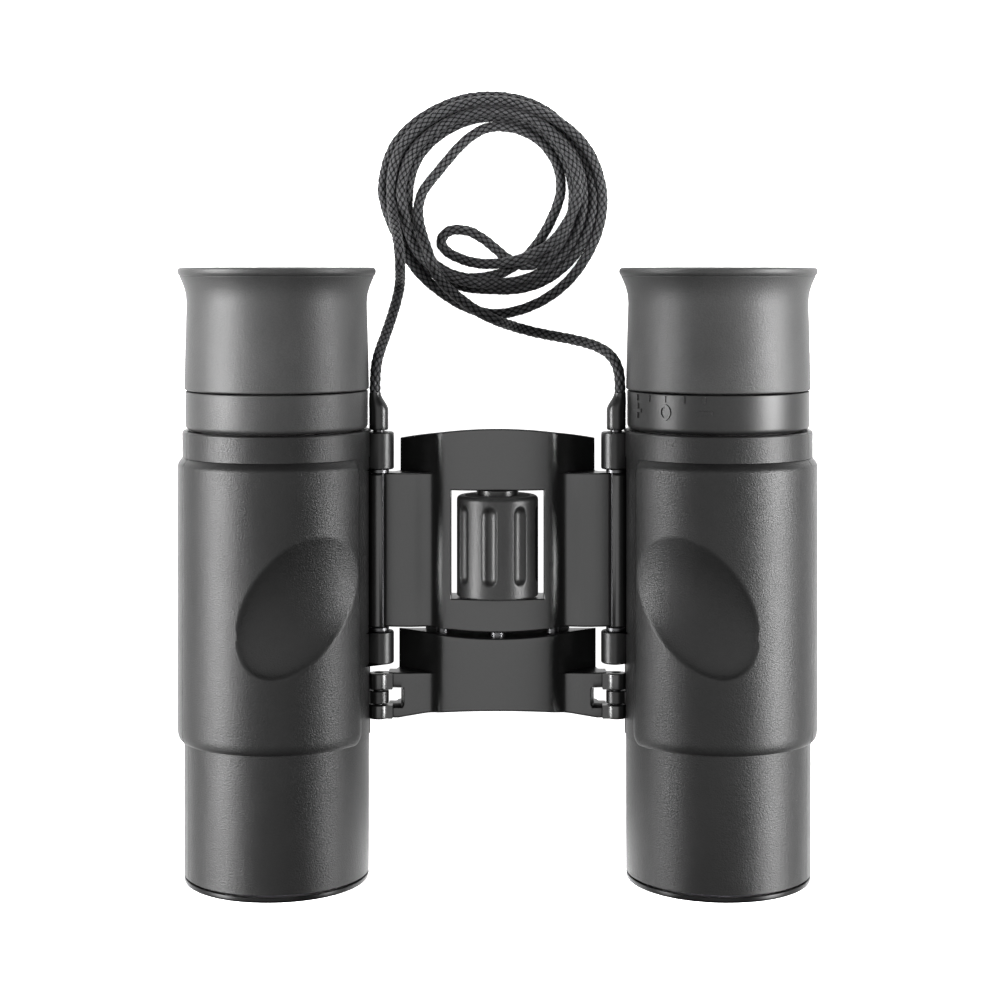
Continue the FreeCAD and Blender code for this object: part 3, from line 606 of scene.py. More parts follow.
# ---- rubber armour -------------------------------------------------------------------------
ARMOUR_LOW_R = 15.8
ARMOUR_BASE_R = 16.0
COLLAR_R = 16.15
PAD_R = 16.95
PAD_FRONT_Y = -28.0
PAD_REAR_Y = 20.0
COLLAR_REAR_Y = 24.5
PAD_HALF_ANGLE = 155.0        # the pad leaves 25 degrees free on each side of the hinge
PARTING_ANGLE = 63.0
THUMB_CENTRE = (4.8, -3.8)    # from the optical axis towards the hinge, and along it
THUMB_LONG = 12.8
THUMB_SHORT = 8.1
THUMB_TILT = math.radians(33.0)
THUMB_DEPTH = 1.7
PAD_CORNER = 2.2
END_ROUND = 0.35
PARTING_WIDTH = 0.22          # degrees
PARTING_DEPTH = 0.10
# From y, to y and radius about the hinge axis: knuckle, slider's fork and cord cap.
GROOVES = ((-10.05, 17.7, 2.6), (-28.3, -15.6, 2.1), (24.1, 99.0, 1.95))


def smooth_step(x):
    x = np.clip(x, 0.0, 1.0)
    return x * x * (3 - 2 * x)


def cylinder_cut(turn, radius):
    """Distance from the barrel's axis to a groove of that radius about the hinge axis.

    turn is the angle from the hinge direction in radians; where the groove isn't met it is large."""
    reach = radius ** 2 - (HINGE_FROM_BARREL * np.sin(turn)) ** 2
    near = HINGE_FROM_BARREL * np.cos(turn) - np.sqrt(np.maximum(reach, 0.0))
    return np.where((reach > 0) & (np.cos(turn) > 0), near, 99.0)


def armour_radius(angle, y):
    """Radius of the armour; angle in degrees from upright, positive away from the hinge."""
    from_hinge = np.abs(((angle + 90.0) + 180.0) % 360.0 - 180.0)
    radius = np.where(y < PAD_FRONT_Y, ARMOUR_LOW_R, np.where(y < PAD_REAR_Y, ARMOUR_BASE_R, COLLAR_R))
    over_end = y - COLLAR_REAR_Y + END_ROUND
    arc = np.sqrt(np.maximum(END_ROUND ** 2 - over_end ** 2, 0.0))
    radius = np.where(over_end > 0, radius - END_ROUND + arc, radius)
    # grip pad: a rounded rectangle on the unrolled barrel, with bevelled edges
    opposite = 180.0 - from_hinge
    half_width = math.radians(PAD_HALF_ANGLE) * PAD_R
    half_length = (PAD_REAR_Y - PAD_FRONT_Y) / 2
    middle = (PAD_REAR_Y + PAD_FRONT_Y) / 2
    across = np.abs(np.radians(opposite) * PAD_R) - half_width + PAD_CORNER
    down = np.abs(y - middle) - half_length + PAD_CORNER
    round_corner = np.hypot(np.maximum(across, 0), np.maximum(down, 0))
    inside = PAD_CORNER - round_corner - np.minimum(np.maximum(across, down), 0)
    front_end = y < middle
    width = np.where(front_end, 2.0, 1.35)
    rise = np.clip(inside / width, 0.0, 1.0)
    rounded_rise = np.sqrt(np.maximum(1 - (1 - rise) ** 2, 0.0))
    bevelled_rise = rise + 0.12 * np.sin(math.pi * rise) * (rise > 0)
    share = np.where(front_end, 0.35 + 0.65 * rounded_rise, bevelled_rise)
    padded = ARMOUR_BASE_R + (PAD_R - ARMOUR_BASE_R) * share
    radius = np.where(inside > 0, np.maximum(padded, radius - 0.15), radius)
    # thumb recess, an oval seen from above
    towards_hinge = -radius * np.sin(np.radians(angle)) - THUMB_CENTRE[0]
    along = y - THUMB_CENTRE[1]
    long_way = (towards_hinge * math.sin(THUMB_TILT) + along * math.cos(THUMB_TILT)) / THUMB_LONG
    short_way = (towards_hinge * math.cos(THUMB_TILT) - along * math.sin(THUMB_TILT)) / THUMB_SHORT
    spread_out = long_way ** 2 + short_way ** 2
    power = 0.62 + 0.40 * smooth_step((long_way + 1) / 2)
    depth = THUMB_DEPTH * (1 - 0.22 * long_way) * np.maximum(1 - spread_out, 0.0) ** power
    upright = np.cos(np.radians(angle)) > 0
    radius = radius - np.where(upright, depth, 0.0)
    # parting line down the outer side
    radius = radius - PARTING_DEPTH * np.exp(-((angle - PARTING_ANGLE) / PARTING_WIDTH) ** 2)
    turn = np.radians(from_hinge)
    for low, high, groove_r in GROOVES:
        cut = np.minimum(radius, cylinder_cut(turn, groove_r))
        radius = np.where((y > low) & (y < high), cut, radius)
    return radius


def armour_rows():
    """Y places of the armour's rows, closer together where it steps and in the thumb recess."""
    knuckle, fork, cap = GROOVES
    steps = [TUBE_FRONT_Y + 0.1, PAD_FRONT_Y, fork[1], knuckle[0], knuckle[1], PAD_REAR_Y, cap[0],
             COLLAR_REAR_Y]
    rows = []
    for low, high in zip(steps, steps[1:]):
        spacing = 1.6 if high <= PAD_FRONT_Y else 0.33
        count = max(3, round((high - low) / spacing))
        rows.extend(low + (high - low) * i / count for i in range(1, count))
        rows.extend([low + 0.003, high - 0.003])
    rows.extend([PAD_FRONT_Y + 0.06 * i for i in range(1, 12)])
    rows.append(PAD_FRONT_Y - 0.15)
    rows.extend(COLLAR_REAR_Y - d for d in (0.06, 0.12, 0.25))
    return np.array(sorted(rows))


def armour_angles():
    """Angles of the armour's columns, with extra ones at the parting line and beside the hinge."""
    angles = list(np.arange(-180.0, 180.0, 1.0))
    angles += [PARTING_ANGLE + d for d in (-0.6, -0.4, -0.2, 0.2, 0.4, 0.6)]
    pad_edge = 180.0 - PAD_HALF_ANGLE
    beside = [5.3, 5.7, 6.4, 6.8, 7.4, 7.8, 8.2, 8.4, 8.52]
    beside += [pad_edge + d for d in (-0.4, 0.3, 0.6, 1.4, 1.7, 2.4)]
    angles += [-90.0 + side * d for side in (-1, 1) for d in beside]
    return np.array(sorted(angles))


def make_armour(side):
    """The armour of one side; its last two rows lie on the tube and close the shell."""
    rows, angles = armour_rows(), armour_angles()
    angle_grid, y_grid = np.meshgrid(angles, np.append(rows, (rows[-1], rows[0])))
    radius = armour_radius(angle_grid, y_grid)
    radius[-2:] = TUBE_R - 0.05
    x = -BARREL_X - radius * np.sin(np.radians(angle_grid))
    z = AXIS_Z + radius * np.cos(np.radians(angle_grid))
    points = np.stack([x if side == "left" else -x, y_grid, z], axis=-1).reshape(-1, 3)
    faces = grid_faces(len(rows) + 2, len(angles), True, True)
    obj = piece_from(side + "_armour_skin", points, faces, 42.0)
    finish_piece(obj, ARMOUR, side + "_barrel", (side + "_armour",))


for side in ("left", "right"):
    make_armour(side)


# ---- eyecups, rings and bezels -------------------------------------------------------------
def barrel_x(side):
    return -BARREL_X if side == "left" else BARREL_X


def make_eyecup(side):
    """A flared cup; the outline runs from the foot up the outside and back down the inside."""
    outline = [(14.08, 31.4), (15.8, 31.4), (15.62, 39.0), (15.42, 46.2), (15.55, 47.8),
               (15.95, 49.2), (16.42, 50.3), (16.62, 50.72), (16.58, 50.84), (16.78, 50.98),
               (17.0, 51.5), (16.95, 52.0), (16.6, 52.3), (16.2, REAR_Y), (14.6, REAR_Y),
               (14.0, 52.15), (13.5, 51.6), (12.2, 45.6), (12.2, 44.7), (14.08, 44.7)]
    shell = lathe(rounded(outline, {1: 0.35, 12: 0.3, 15: 0.4}), barrel_x(side))
    obj = piece_from(side + "_eyecup_skin", *shell, 38.0)
    finish_piece(obj, CUP_RUBBER, side + "_eyecup_turn", (side + "_eyecup",))


RING_R = 15.6
RING_SPAN = (24.65, 31.2)


def make_ring(node, bore, x, material, body):
    low, high = RING_SPAN
    outline = rounded([(bore, low), (RING_R, low), (RING_R, high), (bore, high)], {1: 0.9, 2: 0.25})
    obj = piece_from(node + "_skin", *lathe(outline, x), 38.0)
    finish_piece(obj, material, body, (node,))


for side in ("left", "right"):
    make_eyecup(side)
make_ring("left_eyepiece_ring", 12.65, -BARREL_X, RING_RUBBER, "left_barrel")
make_ring("right_diopter_ring", 12.68, BARREL_X, DIOPTER, "diopter_turn")


def make_bezel(side):
    outline = [(13.9, -51.4), (15.78, -51.4), (15.78, -REAR_Y), (14.6, -REAR_Y), (13.9, -51.95)]
    profile = rounded(outline, {1: 0.12, 2: 0.95, 3: 0.3}, 8)
    obj = piece_from(side + "_bezel_skin", *lathe(profile, barrel_x(side), segments=200), 50.0)
    finish_piece(obj, BEZEL, side + "_barrel", (side + "_objective_bezel",))


for side in ("left", "right"):
    make_bezel(side)


# ---- marks on the diopter ring -------------------------------------------------------------
MARK_HEIGHT = 0.2
TICK_ANGLES = (-66.0, -53.1, -40.2, -27.3, -14.4)
TICK_Y = (29.85, 30.95)
TICK_WIDTH = 0.42
SYMBOL_Y = 28.2


def ring_patch(centre_angle, outline):
    """A raised shape on the ring; the outline is (distance round the ring, y) about the angle."""
    verts = []
    for radius in (RING_R - 0.2, RING_R + MARK_HEIGHT):
        for across, y in outline:
            turn = math.radians(centre_angle) + across / RING_R
            verts.append((BARREL_X + radius * math.sin(turn), y, AXIS_Z + radius * math.cos(turn)))
    return verts, capped_faces(2, len(outline))


def ring_hoop(centre_angle, y, outer, inner, steps=36):
    """A raised oval hoop on the ring; outer and inner are (half width, half length)."""
    verts = []
    low_r, high_r = RING_R - 0.2, RING_R + MARK_HEIGHT
    rims = [(inner, low_r), (outer, low_r), (outer, high_r), (inner, high_r)]
    for (half_width, half_length), radius in rims:
        for index in range(steps):
            t = 2 * math.pi * index / steps
            turn = math.radians(centre_angle) + half_width * math.cos(t) / RING_R
            verts.append((BARREL_X + radius * math.sin(turn), y + half_length * math.sin(t),
                          AXIS_Z + radius * math.cos(turn)))
    return verts, grid_faces(4, steps, True, True)


def box_outline(half_width, low, high):
    return [(-half_width, low), (half_width, low), (half_width, high), (-half_width, high)]


def make_marks():
    parts = [ring_patch(angle, box_outline(TICK_WIDTH / 2, *TICK_Y)) for angle in TICK_ANGLES]
    arm, half = 1.3, 0.32
    plus = [(-half, -arm), (half, -arm), (half, -half), (arm, -half), (arm, half), (half, half),
            (half, arm), (-half, arm), (-half, half), (-arm, half), (-arm, -half), (-half, -half)]
    parts.append(ring_patch(TICK_ANGLES[0], [(across, SYMBOL_Y + y) for across, y in plus]))
    parts.append(ring_hoop(TICK_ANGLES[2], SYMBOL_Y, (1.15, 1.38), (0.66, 0.86)))
    parts.append(ring_patch(TICK_ANGLES[4], box_outline(1.35, SYMBOL_Y - 0.36, SYMBOL_Y + 0.36)))
    obj = piece_from("diopter_marks", *join_parts(parts), 30.0)
    finish_piece(obj, DIOPTER, "diopter_turn", bevel=0.03)


make_marks()


# ---- bridge and focus slider ---------------------------------------------------------------
HUB_FOOT_Z = AXIS_Z - 4.6
HUB_CROWN = 7.7
HUB_HALF = 16.9
SLIDER_HALF = 17.1
WING_TOP_Z = AXIS_Z + 0.85
WING_LOW_Z = AXIS_Z - 3.0
WING_OUTER = 19.5
WING_SPAN = (-9.4, 17.05)
WINDOW_HALF = 7.95
WINDOW_SPAN = (-4.3, 14.2)
BLEND_START = 10.6            # the hub's flank starts to run out into the wing
BLEND_END = 14.8
# Arcs that end the hub and the slider, as y at the side and y in the middle.
HUB_REAR = (22.7, 24.8)
HUB_FRONT = (-8.5, -10.0)
SLIDER_REAR = (-9.5, -11.0)
SLIDER_REAR_STOP = -10.4
SLIDER_FRONT = (-25.0, -23.4)
HUB_UNDERCUT = 1.4
HUB_FRONT_HALF = 12.0
TONGUE_HALF = 12.5
TONGUE_Y = (-14.5, -5.0)
WING_BLEND_X = 10.2


def arc_y(x, half_width, side_y, middle_y):
    """Y of a shallow arc through the side and middle places."""
    rise = middle_y - side_y
    radius = (half_width ** 2 + rise ** 2) / (2 * abs(rise))
    drop = radius - np.sqrt(radius ** 2 - np.minimum(np.abs(x), half_width) ** 2)
    return middle_y - math.copysign(1.0, rise) * drop


def arch_table():
    """Half section of the hub: a gentle dome that turns over a soft shoulder into straight flanks."""
    share = np.linspace(0.0, 1.0, 600)
    dome_end, shoulder_end = 0.50, 0.66
    dome_tilt, shoulder_tilt = 13.5, 30.0
    shoulder = smooth_step((share - dome_end) / (shoulder_end - dome_end))
    tilt = np.where(share < dome_end, dome_tilt * share / dome_end, dome_tilt + shoulder_tilt * shoulder)
    steepness = np.tan(np.radians((tilt[1:] + tilt[:-1]) / 2))
    fall = np.concatenate([[0.0], np.cumsum(steepness * np.diff(share))])
    return share, 1 - fall / fall[-1]


ARCH_SHARE, ARCH_HEIGHT = arch_table()


def arch_z(x, half_width):
    return HUB_FOOT_Z + HUB_CROWN * np.interp(np.abs(x) / half_width, ARCH_SHARE, ARCH_HEIGHT)


def wing_z(x, half_width):
    """Top of the bridge where it has wings: the arch, a hollow blend and the nearly flat wing."""
    far = np.abs(x)
    start_z, next_z = arch_z(np.array([BLEND_START, BLEND_START + 0.05]), half_width)
    slope = (next_z - start_z) / 0.05
    run = BLEND_END - BLEND_START
    t = np.clip((far - BLEND_START) / run, 0.0, 1.0)
    blend = ((2 * t ** 3 - 3 * t ** 2 + 1) * start_z + (t ** 3 - 2 * t ** 2 + t) * slope * run
             + (3 * t ** 2 - 2 * t ** 3) * WING_TOP_Z)
    crown = 0.55 * np.clip((far - 15.6) / 3.9, 0.0, 1.0) ** 2
    beyond = np.where(far < BLEND_END, blend, WING_TOP_Z - crown)
    return np.where(far < BLEND_START, arch_z(x, half_width), beyond)


def edge_drop(distance, radius):
    """How far a rounded edge falls below the face at a distance from the rim."""
    near = np.clip(1 - distance / radius, 0.0, 1.0)
    return radius * (1 - np.sqrt(np.maximum(1 - near ** 2, 0.0)))


def slab(y_grid, x_grid, top, low, kept, low_y):
    """A closed shell over the kept cells of a grid, between two heights."""
    rows, columns = x_grid.shape
    verts = [tuple(v) for v in np.stack([x_grid, y_grid, top], axis=-1).reshape(-1, 3)]
    verts += [tuple(v) for v in np.stack([x_grid, low_y, low], axis=-1).reshape(-1, 3)]
    under = rows * columns
    faces = []
    for row in range(rows - 1):
        for column in range(columns - 1):
            if not kept[row, column]:
                continue
            a = row * columns + column
            b, c, d = a + 1, a + columns + 1, a + columns
            faces.append((a, b, c, d))
            faces.append((d + under, c + under, b + under, a + under))
            sides = [((row - 1, column), (a, b)), ((row, column + 1), (b, c)),
                     ((row + 1, column), (c, d)), ((row, column - 1), (d, a))]
            for (beside_row, beside_column), (start, end) in sides:
                inside = 0 <= beside_row < rows - 1 and 0 <= beside_column < columns - 1
                if not (inside and kept[beside_row, beside_column]):
                    faces.append((start, start + under, end + under, end))
    return verts, faces


def close_rows(low, high, radius, spacing):
    """Places from low to high, closer together beside both ends for a rounded edge."""
    near = [radius * share for share in quarter_round(6)]
    count = max(2, round((high - low - 2 * radius) / spacing))
    middle = np.linspace(low + radius, high - radius, count)
    places = [low + n for n in near] + [high - n for n in near] + list(middle)
    return sorted(set(round(float(place), 4) for place in places))


def arch_columns(half_width, extra):
    """Mirrored x places: even on the arch's angle, plus the ones named."""
    places = [half_width * math.sin(math.pi / 2 * i / 44) for i in range(45)]
    places += list(extra)
    places = sorted(set(round(p, 4) for p in places))
    kept = [places[0]]
    for place in places[1:]:
        if place - kept[-1] > 0.02 or place in extra:
            kept.append(place)
    return np.array([-p for p in kept[:0:-1]] + kept)


EDGE_R = 0.32


def row_grid(rows, columns):
    """Grids of x, y and the kind of each row, from a list of (y along the row, kind)."""
    y_grid = np.array([y for y, _ in rows])
    return np.tile(columns, (len(rows), 1)), y_grid, np.array([kind for _, kind in rows])[:, None]


def cell_middles(columns, y_grid):
    """Distance from the middle plane, and y, of the middle of each cell."""
    far_mid = np.abs((columns[:-1] + columns[1:]) / 2)[None, :]
    return far_mid, (y_grid[:-1, :-1] + y_grid[1:, 1:]) / 2


def make_bridge():
    """The bridge: an arched hub with a window, two wings, the knuckles and the tongue below."""
    shares = quarter_round(6)
    edges = [WINDOW_HALF + EDGE_R * share for share in shares]
    edges += [WING_OUTER - EDGE_R * share for share in shares]
    beyond_hub = [17.6, 18.3, 19.0, 19.56, 20.4]
    columns = arch_columns(HUB_HALF, [round(p, 4) for p in edges] + beyond_hub + [HUB_FRONT_HALF])
    rear = arc_y(columns, HUB_HALF, *HUB_REAR)
    front = np.minimum(arc_y(columns, HUB_HALF, *HUB_FRONT), WING_SPAN[0])
    rows = [(front + np.minimum(EDGE_R * share * 2, WING_SPAN[0] - front), "front")
            for share in np.linspace(0, 1, 9)]
    rows.append((np.full_like(columns, WING_SPAN[0]), "front"))
    wing_rows = close_rows(WING_SPAN[0], WINDOW_SPAN[0], EDGE_R, 0.8)
    wing_rows += close_rows(*WINDOW_SPAN, EDGE_R, 0.8)[1:]
    wing_rows += close_rows(WINDOW_SPAN[1], WING_SPAN[1], EDGE_R, 0.6)[1:]
    rows += [(np.full_like(columns, y), "wing") for y in wing_rows]
    rows += [(WING_SPAN[1] + (rear - EDGE_R - WING_SPAN[1]) * share, "rear")
             for share in np.linspace(0, 1, 9)]
    rows += [(rear - EDGE_R * share, "rear") for share in shares[::-1][1:]]
    x_grid, y_grid, kind = row_grid(rows, columns)
    far = np.abs(x_grid)
    top = np.where(kind == "wing", wing_z(x_grid, HUB_HALF), arch_z(x_grid, HUB_HALF))
    # rounded rims: wing ends, arched ends, window, wing sides
    wing_share = smooth_step((far - WING_BLEND_X) / 1.6)
    end_gap = np.minimum(y_grid - WING_SPAN[0], WING_SPAN[1] - y_grid)
    top = top - np.where(kind == "wing", wing_share * edge_drop(end_gap, EDGE_R), 0.0)
    top = top - np.where(kind == "rear", edge_drop(rear[None, :] - y_grid, EDGE_R), 0.0)
    top = top - np.where(kind == "front", edge_drop(y_grid - front[None, :], EDGE_R), 0.0)
    out_x = far - WINDOW_HALF
    out_y = np.maximum(WINDOW_SPAN[0] - y_grid, y_grid - WINDOW_SPAN[1])
    window_gap = np.hypot(np.maximum(out_x, 0), np.maximum(out_y, 0))
    top = top - edge_drop(window_gap, EDGE_R * 0.8)
    side_gap = np.where(far <= WING_OUTER, WING_OUTER - far, 99.0)
    top = top - np.where(kind == "wing", edge_drop(side_gap, EDGE_R), 0.0)
    top = np.where(far > WING_OUTER + 0.03, WING_TOP_Z - 0.9, top)
    low = np.where(far <= HUB_HALF + 1e-4, HUB_FOOT_Z, WING_LOW_Z)
    top = np.maximum(top, low)
    far_mid, middle_y = cell_middles(columns, y_grid)
    wing_cell = (middle_y > WING_SPAN[0]) & (middle_y < WING_SPAN[1])
    rear_cell = (middle_y >= WING_SPAN[1]) & (far_mid < HUB_HALF)
    front_cell = (middle_y <= WING_SPAN[0]) & (far_mid < HUB_FRONT_HALF)
    hole = (far_mid < WINDOW_HALF) & (middle_y > WINDOW_SPAN[0]) & (middle_y < WINDOW_SPAN[1])
    kept = (wing_cell | rear_cell | front_cell) & ~hole
    low_y = np.where(kind == "rear", np.minimum(y_grid, rear[None, :] - HUB_UNDERCUT), y_grid)
    parts = [slab(y_grid, x_grid, top, low, kept, low_y)]
    parts += [knuckle_half(side_sign) for side_sign in (-1, 1)]
    parts.append(box_between((-TONGUE_HALF, TONGUE_Y[0], HUB_FOOT_Z - 1.1),
                             (TONGUE_HALF, TONGUE_Y[1], HUB_FOOT_Z - 0.3)))
    parts.append(box_between((-TONGUE_HALF, WING_SPAN[0] + 0.05, HUB_FOOT_Z - 1.05),
                             (TONGUE_HALF, TONGUE_Y[1] - 0.05, HUB_FOOT_Z + 0.5)))
    obj = piece_from("bridge_skin", *join_parts(parts), 32.0)
    finish_piece(obj, BRIDGE, "bridge", ("bridge_body",))


def box_between(low_corner, high_corner):
    """A closed box between two corners."""
    (x0, y0, z0), (x1, y1, z1) = low_corner, high_corner
    verts = [(x, y, z) for z in (z0, z1) for x, y in ((x0, y0), (x1, y0), (x1, y1), (x0, y1))]
    return verts, grid_faces(2, 4, False, True) + [(0, 1, 2, 3), (7, 6, 5, 4)]


def knuckle_half(side_sign):
    """The bridge's hinge knuckle beyond the groove line, with rounded ends."""
    radius, flat = 2.1, -0.72
    start = math.acos(flat / radius)
    turns = np.linspace(start, -start, 40)
    section = [(radius * math.cos(t), radius * math.sin(t)) for t in turns]
    ends = [(WING_SPAN[0], 0.80), (WING_SPAN[0] + 0.12, 0.93), (WING_SPAN[0] + 0.35, 1.0),
            (WING_SPAN[1] - 0.35, 1.0), (WING_SPAN[1] - 0.12, 0.93), (WING_SPAN[1], 0.80)]
    verts = []
    for y, share in ends:
        for x, z in section:
            reach = x * share if x > 0 else x
            verts.append((side_sign * (HINGE_X + reach), y, AXIS_Z + z * share))
    return verts, capped_faces(len(ends), len(section))


def ring_of(x, y, z, radius, steps):
    """Points round a circle about an axis along Y."""
    turns = [2 * math.pi * i / steps for i in range(steps)]
    return [(x + radius * math.sin(turn), y, z + radius * math.cos(turn)) for turn in turns]


def rounded_rod(radius, span, x, z, edge=0.25, steps=48):
    """A closed cylinder along Y with rounded rims."""
    shares = quarter_round(4)
    profile = [(radius - edge * out, span[0] + edge * along) for out, along in zip(shares[::-1], shares)]
    profile += [(r, span[0] + span[1] - y) for r, y in profile[::-1]]
    verts = []
    for r, y in profile:
        verts += ring_of(x, y, z, r, steps)
    return verts, capped_faces(len(profile), steps)


FORK_R = 1.74
FORK_REAR = (-20.1, -17.3)
FORK_FRONT = (-25.1, -22.7)
SLIDER_WING_REAR_Y = -17.2
SLOT_X = 16.6
SLOT_BEVEL_Y = [-23.9, -23.3, -23.0, -22.72]
WEB_ABOVE_AXIS = 1.1


def make_slider():
    """The slider: an arched hub, two wings with a slot each, and the forks' knuckles."""
    slot_edge = [round(SLOT_X - 0.7 * share, 4) for share in quarter_round(5)]
    columns = arch_columns(SLIDER_HALF, slot_edge + [17.5, 18.0, 18.7])
    shares = quarter_round(6)
    rear = np.minimum(arc_y(columns, SLIDER_HALF, *SLIDER_REAR), SLIDER_REAR_STOP)
    front = arc_y(columns, SLIDER_HALF, *SLIDER_FRONT)
    rows = [(front + EDGE_R * share, "wing") for share in shares]
    between_forks = close_rows(FORK_FRONT[1], FORK_REAR[0], EDGE_R, 0.5)
    for y in SLOT_BEVEL_Y + between_forks + [-19.7, -19.3, -18.5, -17.9]:
        rows.append((np.maximum(y, front + EDGE_R + 0.02), "wing"))
    rows += [(np.full_like(columns, SLIDER_WING_REAR_Y - EDGE_R * share), "wing") for share in shares[::-1]]
    rows += [(SLIDER_WING_REAR_Y + (rear - EDGE_R - SLIDER_WING_REAR_Y) * share, "hub")
             for share in np.linspace(0, 1, 10)]
    rows += [(rear - EDGE_R * share, "hub") for share in shares[::-1][1:]]
    x_grid, y_grid, kind = row_grid(rows, columns)
    far = np.abs(x_grid)
    top = np.where(kind == "wing", wing_z(x_grid, SLIDER_HALF), arch_z(x_grid, SLIDER_HALF))
    wing_share = smooth_step((far - WING_BLEND_X) / 1.6)
    top = top - np.where(kind == "wing", edge_drop(y_grid - front[None, :], EDGE_R), 0.0)
    top = top - np.where(kind == "wing", wing_share * edge_drop(SLIDER_WING_REAR_Y - y_grid, EDGE_R), 0.0)
    top = top - np.where(kind == "hub", edge_drop(rear[None, :] - y_grid, EDGE_R), 0.0)
    # the slot's bevelled rims beside the focus arm
    out_x = SLOT_X - far
    out_y = np.maximum(FORK_FRONT[1] - y_grid, y_grid - FORK_REAR[0])
    slot_gap = np.hypot(np.maximum(out_x, 0), np.maximum(out_y, 0) * 1.4)
    top = top - np.where(kind == "wing", 1.5 * np.clip(1 - slot_gap / 0.6, 0, 1), 0.0)
    low = np.where(far <= SLIDER_HALF + 1e-4, HUB_FOOT_Z, WING_LOW_Z)
    top = np.maximum(top, low)
    far_mid, middle_y = cell_middles(columns, y_grid)
    hub_cell = (middle_y > SLIDER_WING_REAR_Y) & (far_mid < SLIDER_HALF)
    wing_cell = middle_y <= SLIDER_WING_REAR_Y
    slot = (far_mid > SLOT_X) & (middle_y > FORK_FRONT[1]) & (middle_y < FORK_REAR[0])
    kept = (hub_cell | wing_cell) & ~slot
    parts = [slab(y_grid, x_grid, top, low, kept, y_grid)]
    for side_sign in (-1, 1):
        for span in (FORK_REAR, FORK_FRONT):
            parts.append(rounded_rod(FORK_R, span, side_sign * HINGE_X, AXIS_Z))
            parts.append(box_between((side_sign * 18.0, span[0] + 0.05, AXIS_Z - FORK_R),
                                     (side_sign * HINGE_X, span[1] - 0.05, AXIS_Z + WEB_ABOVE_AXIS)))
    obj = piece_from("slider_skin", *join_parts(parts), 32.0)
    finish_piece(obj, BRIDGE, "focus_carriage", ("focus_slider",))


make_bridge()
make_slider()


# ---- focus wheel ---------------------------------------------------------------------------
WHEEL_Z = AXIS_Z + 0.5
WHEEL_R = 6.98
WHEEL_BORE_R = 5.6
WHEEL_SPAN = (-3.95, 13.27)
FLUTE_SPAN = (-1.6, 11.9)
FLUTE_COUNT = 8
FLUTE_PHASE = -11.3
FLUTE_R = 1.45
FLUTE_OFFSET = 7.5


def make_wheel():
    """The rubber grip: a drum with round-ended flutes."""
    steps = 480
    softness = 0.12
    pitch = 2 * math.pi / FLUTE_COUNT
    turns = np.arange(steps) * 2 * math.pi / steps
    rows = close_rows(WHEEL_SPAN[0], WHEEL_SPAN[1], 0.7, 0.28)
    verts = []
    for y in rows:
        end_gap = min(y - WHEEL_SPAN[0], WHEEL_SPAN[1] - y)
        rim_r = 0.35 if y < 0 else 0.7
        outer = WHEEL_R - float(edge_drop(np.array(end_gap), rim_r))
        beyond = max(FLUTE_SPAN[0] + FLUTE_R - y, y - FLUTE_SPAN[1] + FLUTE_R, 0.0)
        reach = FLUTE_R ** 2 - beyond ** 2
        for turn in turns:
            local = (turn - math.radians(FLUTE_PHASE) + pitch / 2) % pitch - pitch / 2
            radius = outer
            cut = reach - (FLUTE_OFFSET * math.sin(local)) ** 2
            if cut > 0:
                floor_r = FLUTE_OFFSET * math.cos(local) - math.sqrt(cut)
                gap = max(outer - floor_r, 0.0)
                radius = outer - math.sqrt(gap ** 2 + softness ** 2) + softness
            verts.append((radius * math.sin(turn), y, WHEEL_Z + radius * math.cos(turn)))
    for y in (rows[-1], rows[0]):
        verts += [(WHEEL_BORE_R * math.sin(t), y, WHEEL_Z + WHEEL_BORE_R * math.cos(t)) for t in turns]
    obj = piece_from("wheel_skin", verts, grid_faces(len(rows) + 2, steps, True, True), 50.0)
    finish_piece(obj, WHEEL_RUBBER, "focus_wheel", ("focus_wheel_grip",))


make_wheel()


# ---- parts with softened edges -------------------------------------------------------------
LUG_R = 2.6
WEB_OUTER_X = 23.9
WEB_DROP = 1.5


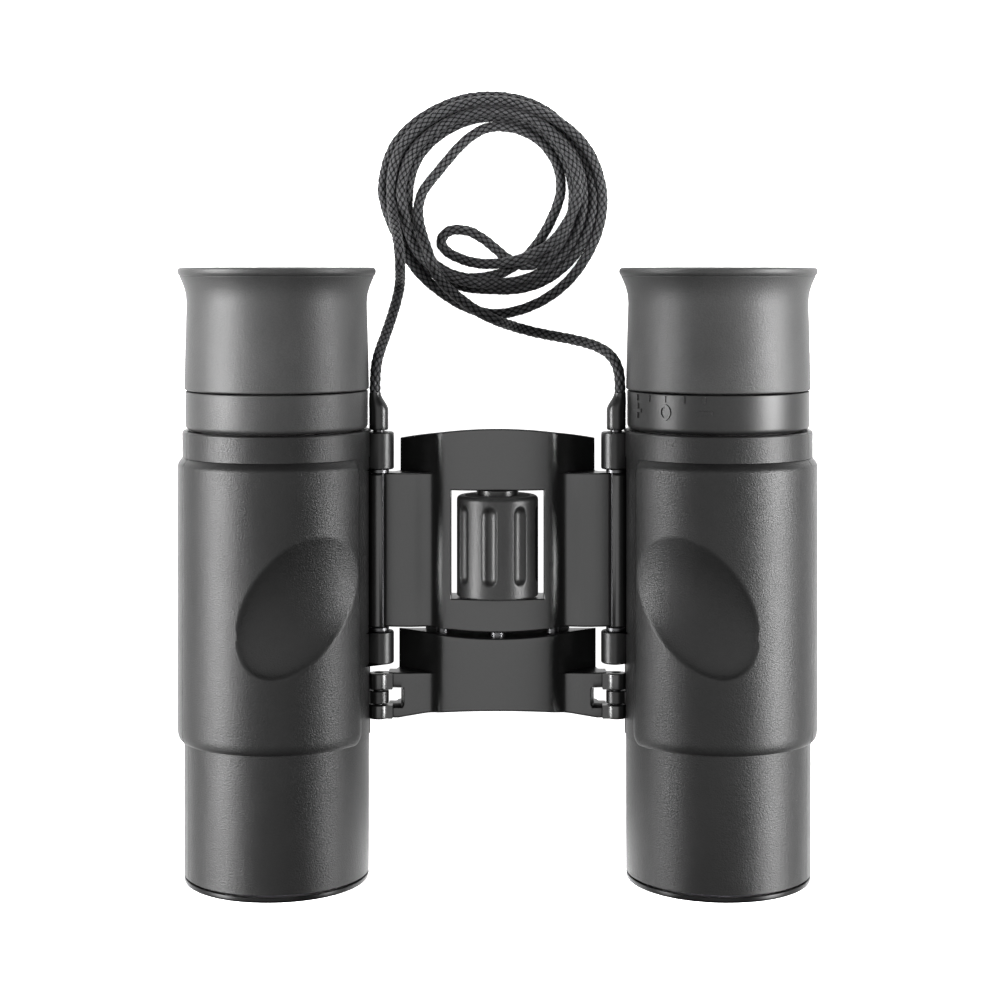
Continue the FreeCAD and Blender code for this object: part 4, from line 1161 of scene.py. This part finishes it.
def lower_webs(obj):
    """Slope the webs behind the hinge lugs down towards the barrel."""
    for vertex in obj.data.vertices:
        far = abs(vertex.co.x) / MM
        on_top = abs(vertex.co.z / MM - AXIS_Z - LUG_R) < 0.05
        if HINGE_X + 0.3 < far < WEB_OUTER_X and on_top:
            vertex.co.z -= WEB_DROP * MM * min(1.0, (far - HINGE_X) / 2.0)


def soften(node, material, body, width=0.25, angle=38.0):
    obj = copy_of(node, node + "_skin")
    lower_webs(obj)
    finish_piece(obj, material, body, (node,), width, angle)
    obj.modifiers["soft_edges"].use_clamp_overlap = False


CAP_R = 1.65
CAP_TIP_R = 1.0
CAP_TIP_SHIFT = 0.65


def make_cap(side):
    """A cord cap: a round barrel whose shoulder slopes into the cord."""
    side_sign = -1 if side == "left" else 1
    profile = [(1.35, 24.4, 0.0), (1.56, 24.46, 0.0), (CAP_R, 24.7, 0.0)]
    profile += [(CAP_R, 24.7 + 0.6 * i, 0.0) for i in range(1, 6)]
    for i in range(1, 15):
        t = i / 14
        profile.append((CAP_R - (CAP_R - CAP_TIP_R) * float(smooth_step(t)) ** 1.2, 27.7 + 3.1 * t,
                        CAP_TIP_SHIFT * float(smooth_step(t))))
    steps = 56
    verts = []
    for radius, y, shift in profile:
        centre = side_sign * (HINGE_X + shift)
        verts += ring_of(centre, y, AXIS_Z, radius, steps)
    obj = piece_from(side + "_cap_skin", verts, capped_faces(len(profile), steps), 45.0)
    finish_piece(obj, GLOSSY, "bridge", (side + "_lanyard_cap",))


for side in ("left", "right"):
    soften(side + "_barrel_tube", BARREL, side + "_barrel", 0.3)
    make_cap(side)
    soften(side + "_focus_arm", GLOSSY, side + "_objective", 0.2)


# ---- CAD nodes that keep their shape -------------------------------------------------------
KEPT = (("lens_ring", CELL), ("objective_cell", CELL), ("eyepiece_cell", CELL), ("lens", COATED),
        ("prism_cage", INNER), ("prism_clip", SPRING), ("prism", PRISM), ("pin", STEEL), ("rods", STEEL),
        ("screw", STEEL), ("washers", STEEL), ("nut", BRASS), ("thrust", GLOSSY))


def kept_material(name):
    for word, material in KEPT:
        if word in name:
            return material
    return INNER


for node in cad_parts.values():
    node.data.materials.clear()
    node.data.materials.append(kept_material(node.name))
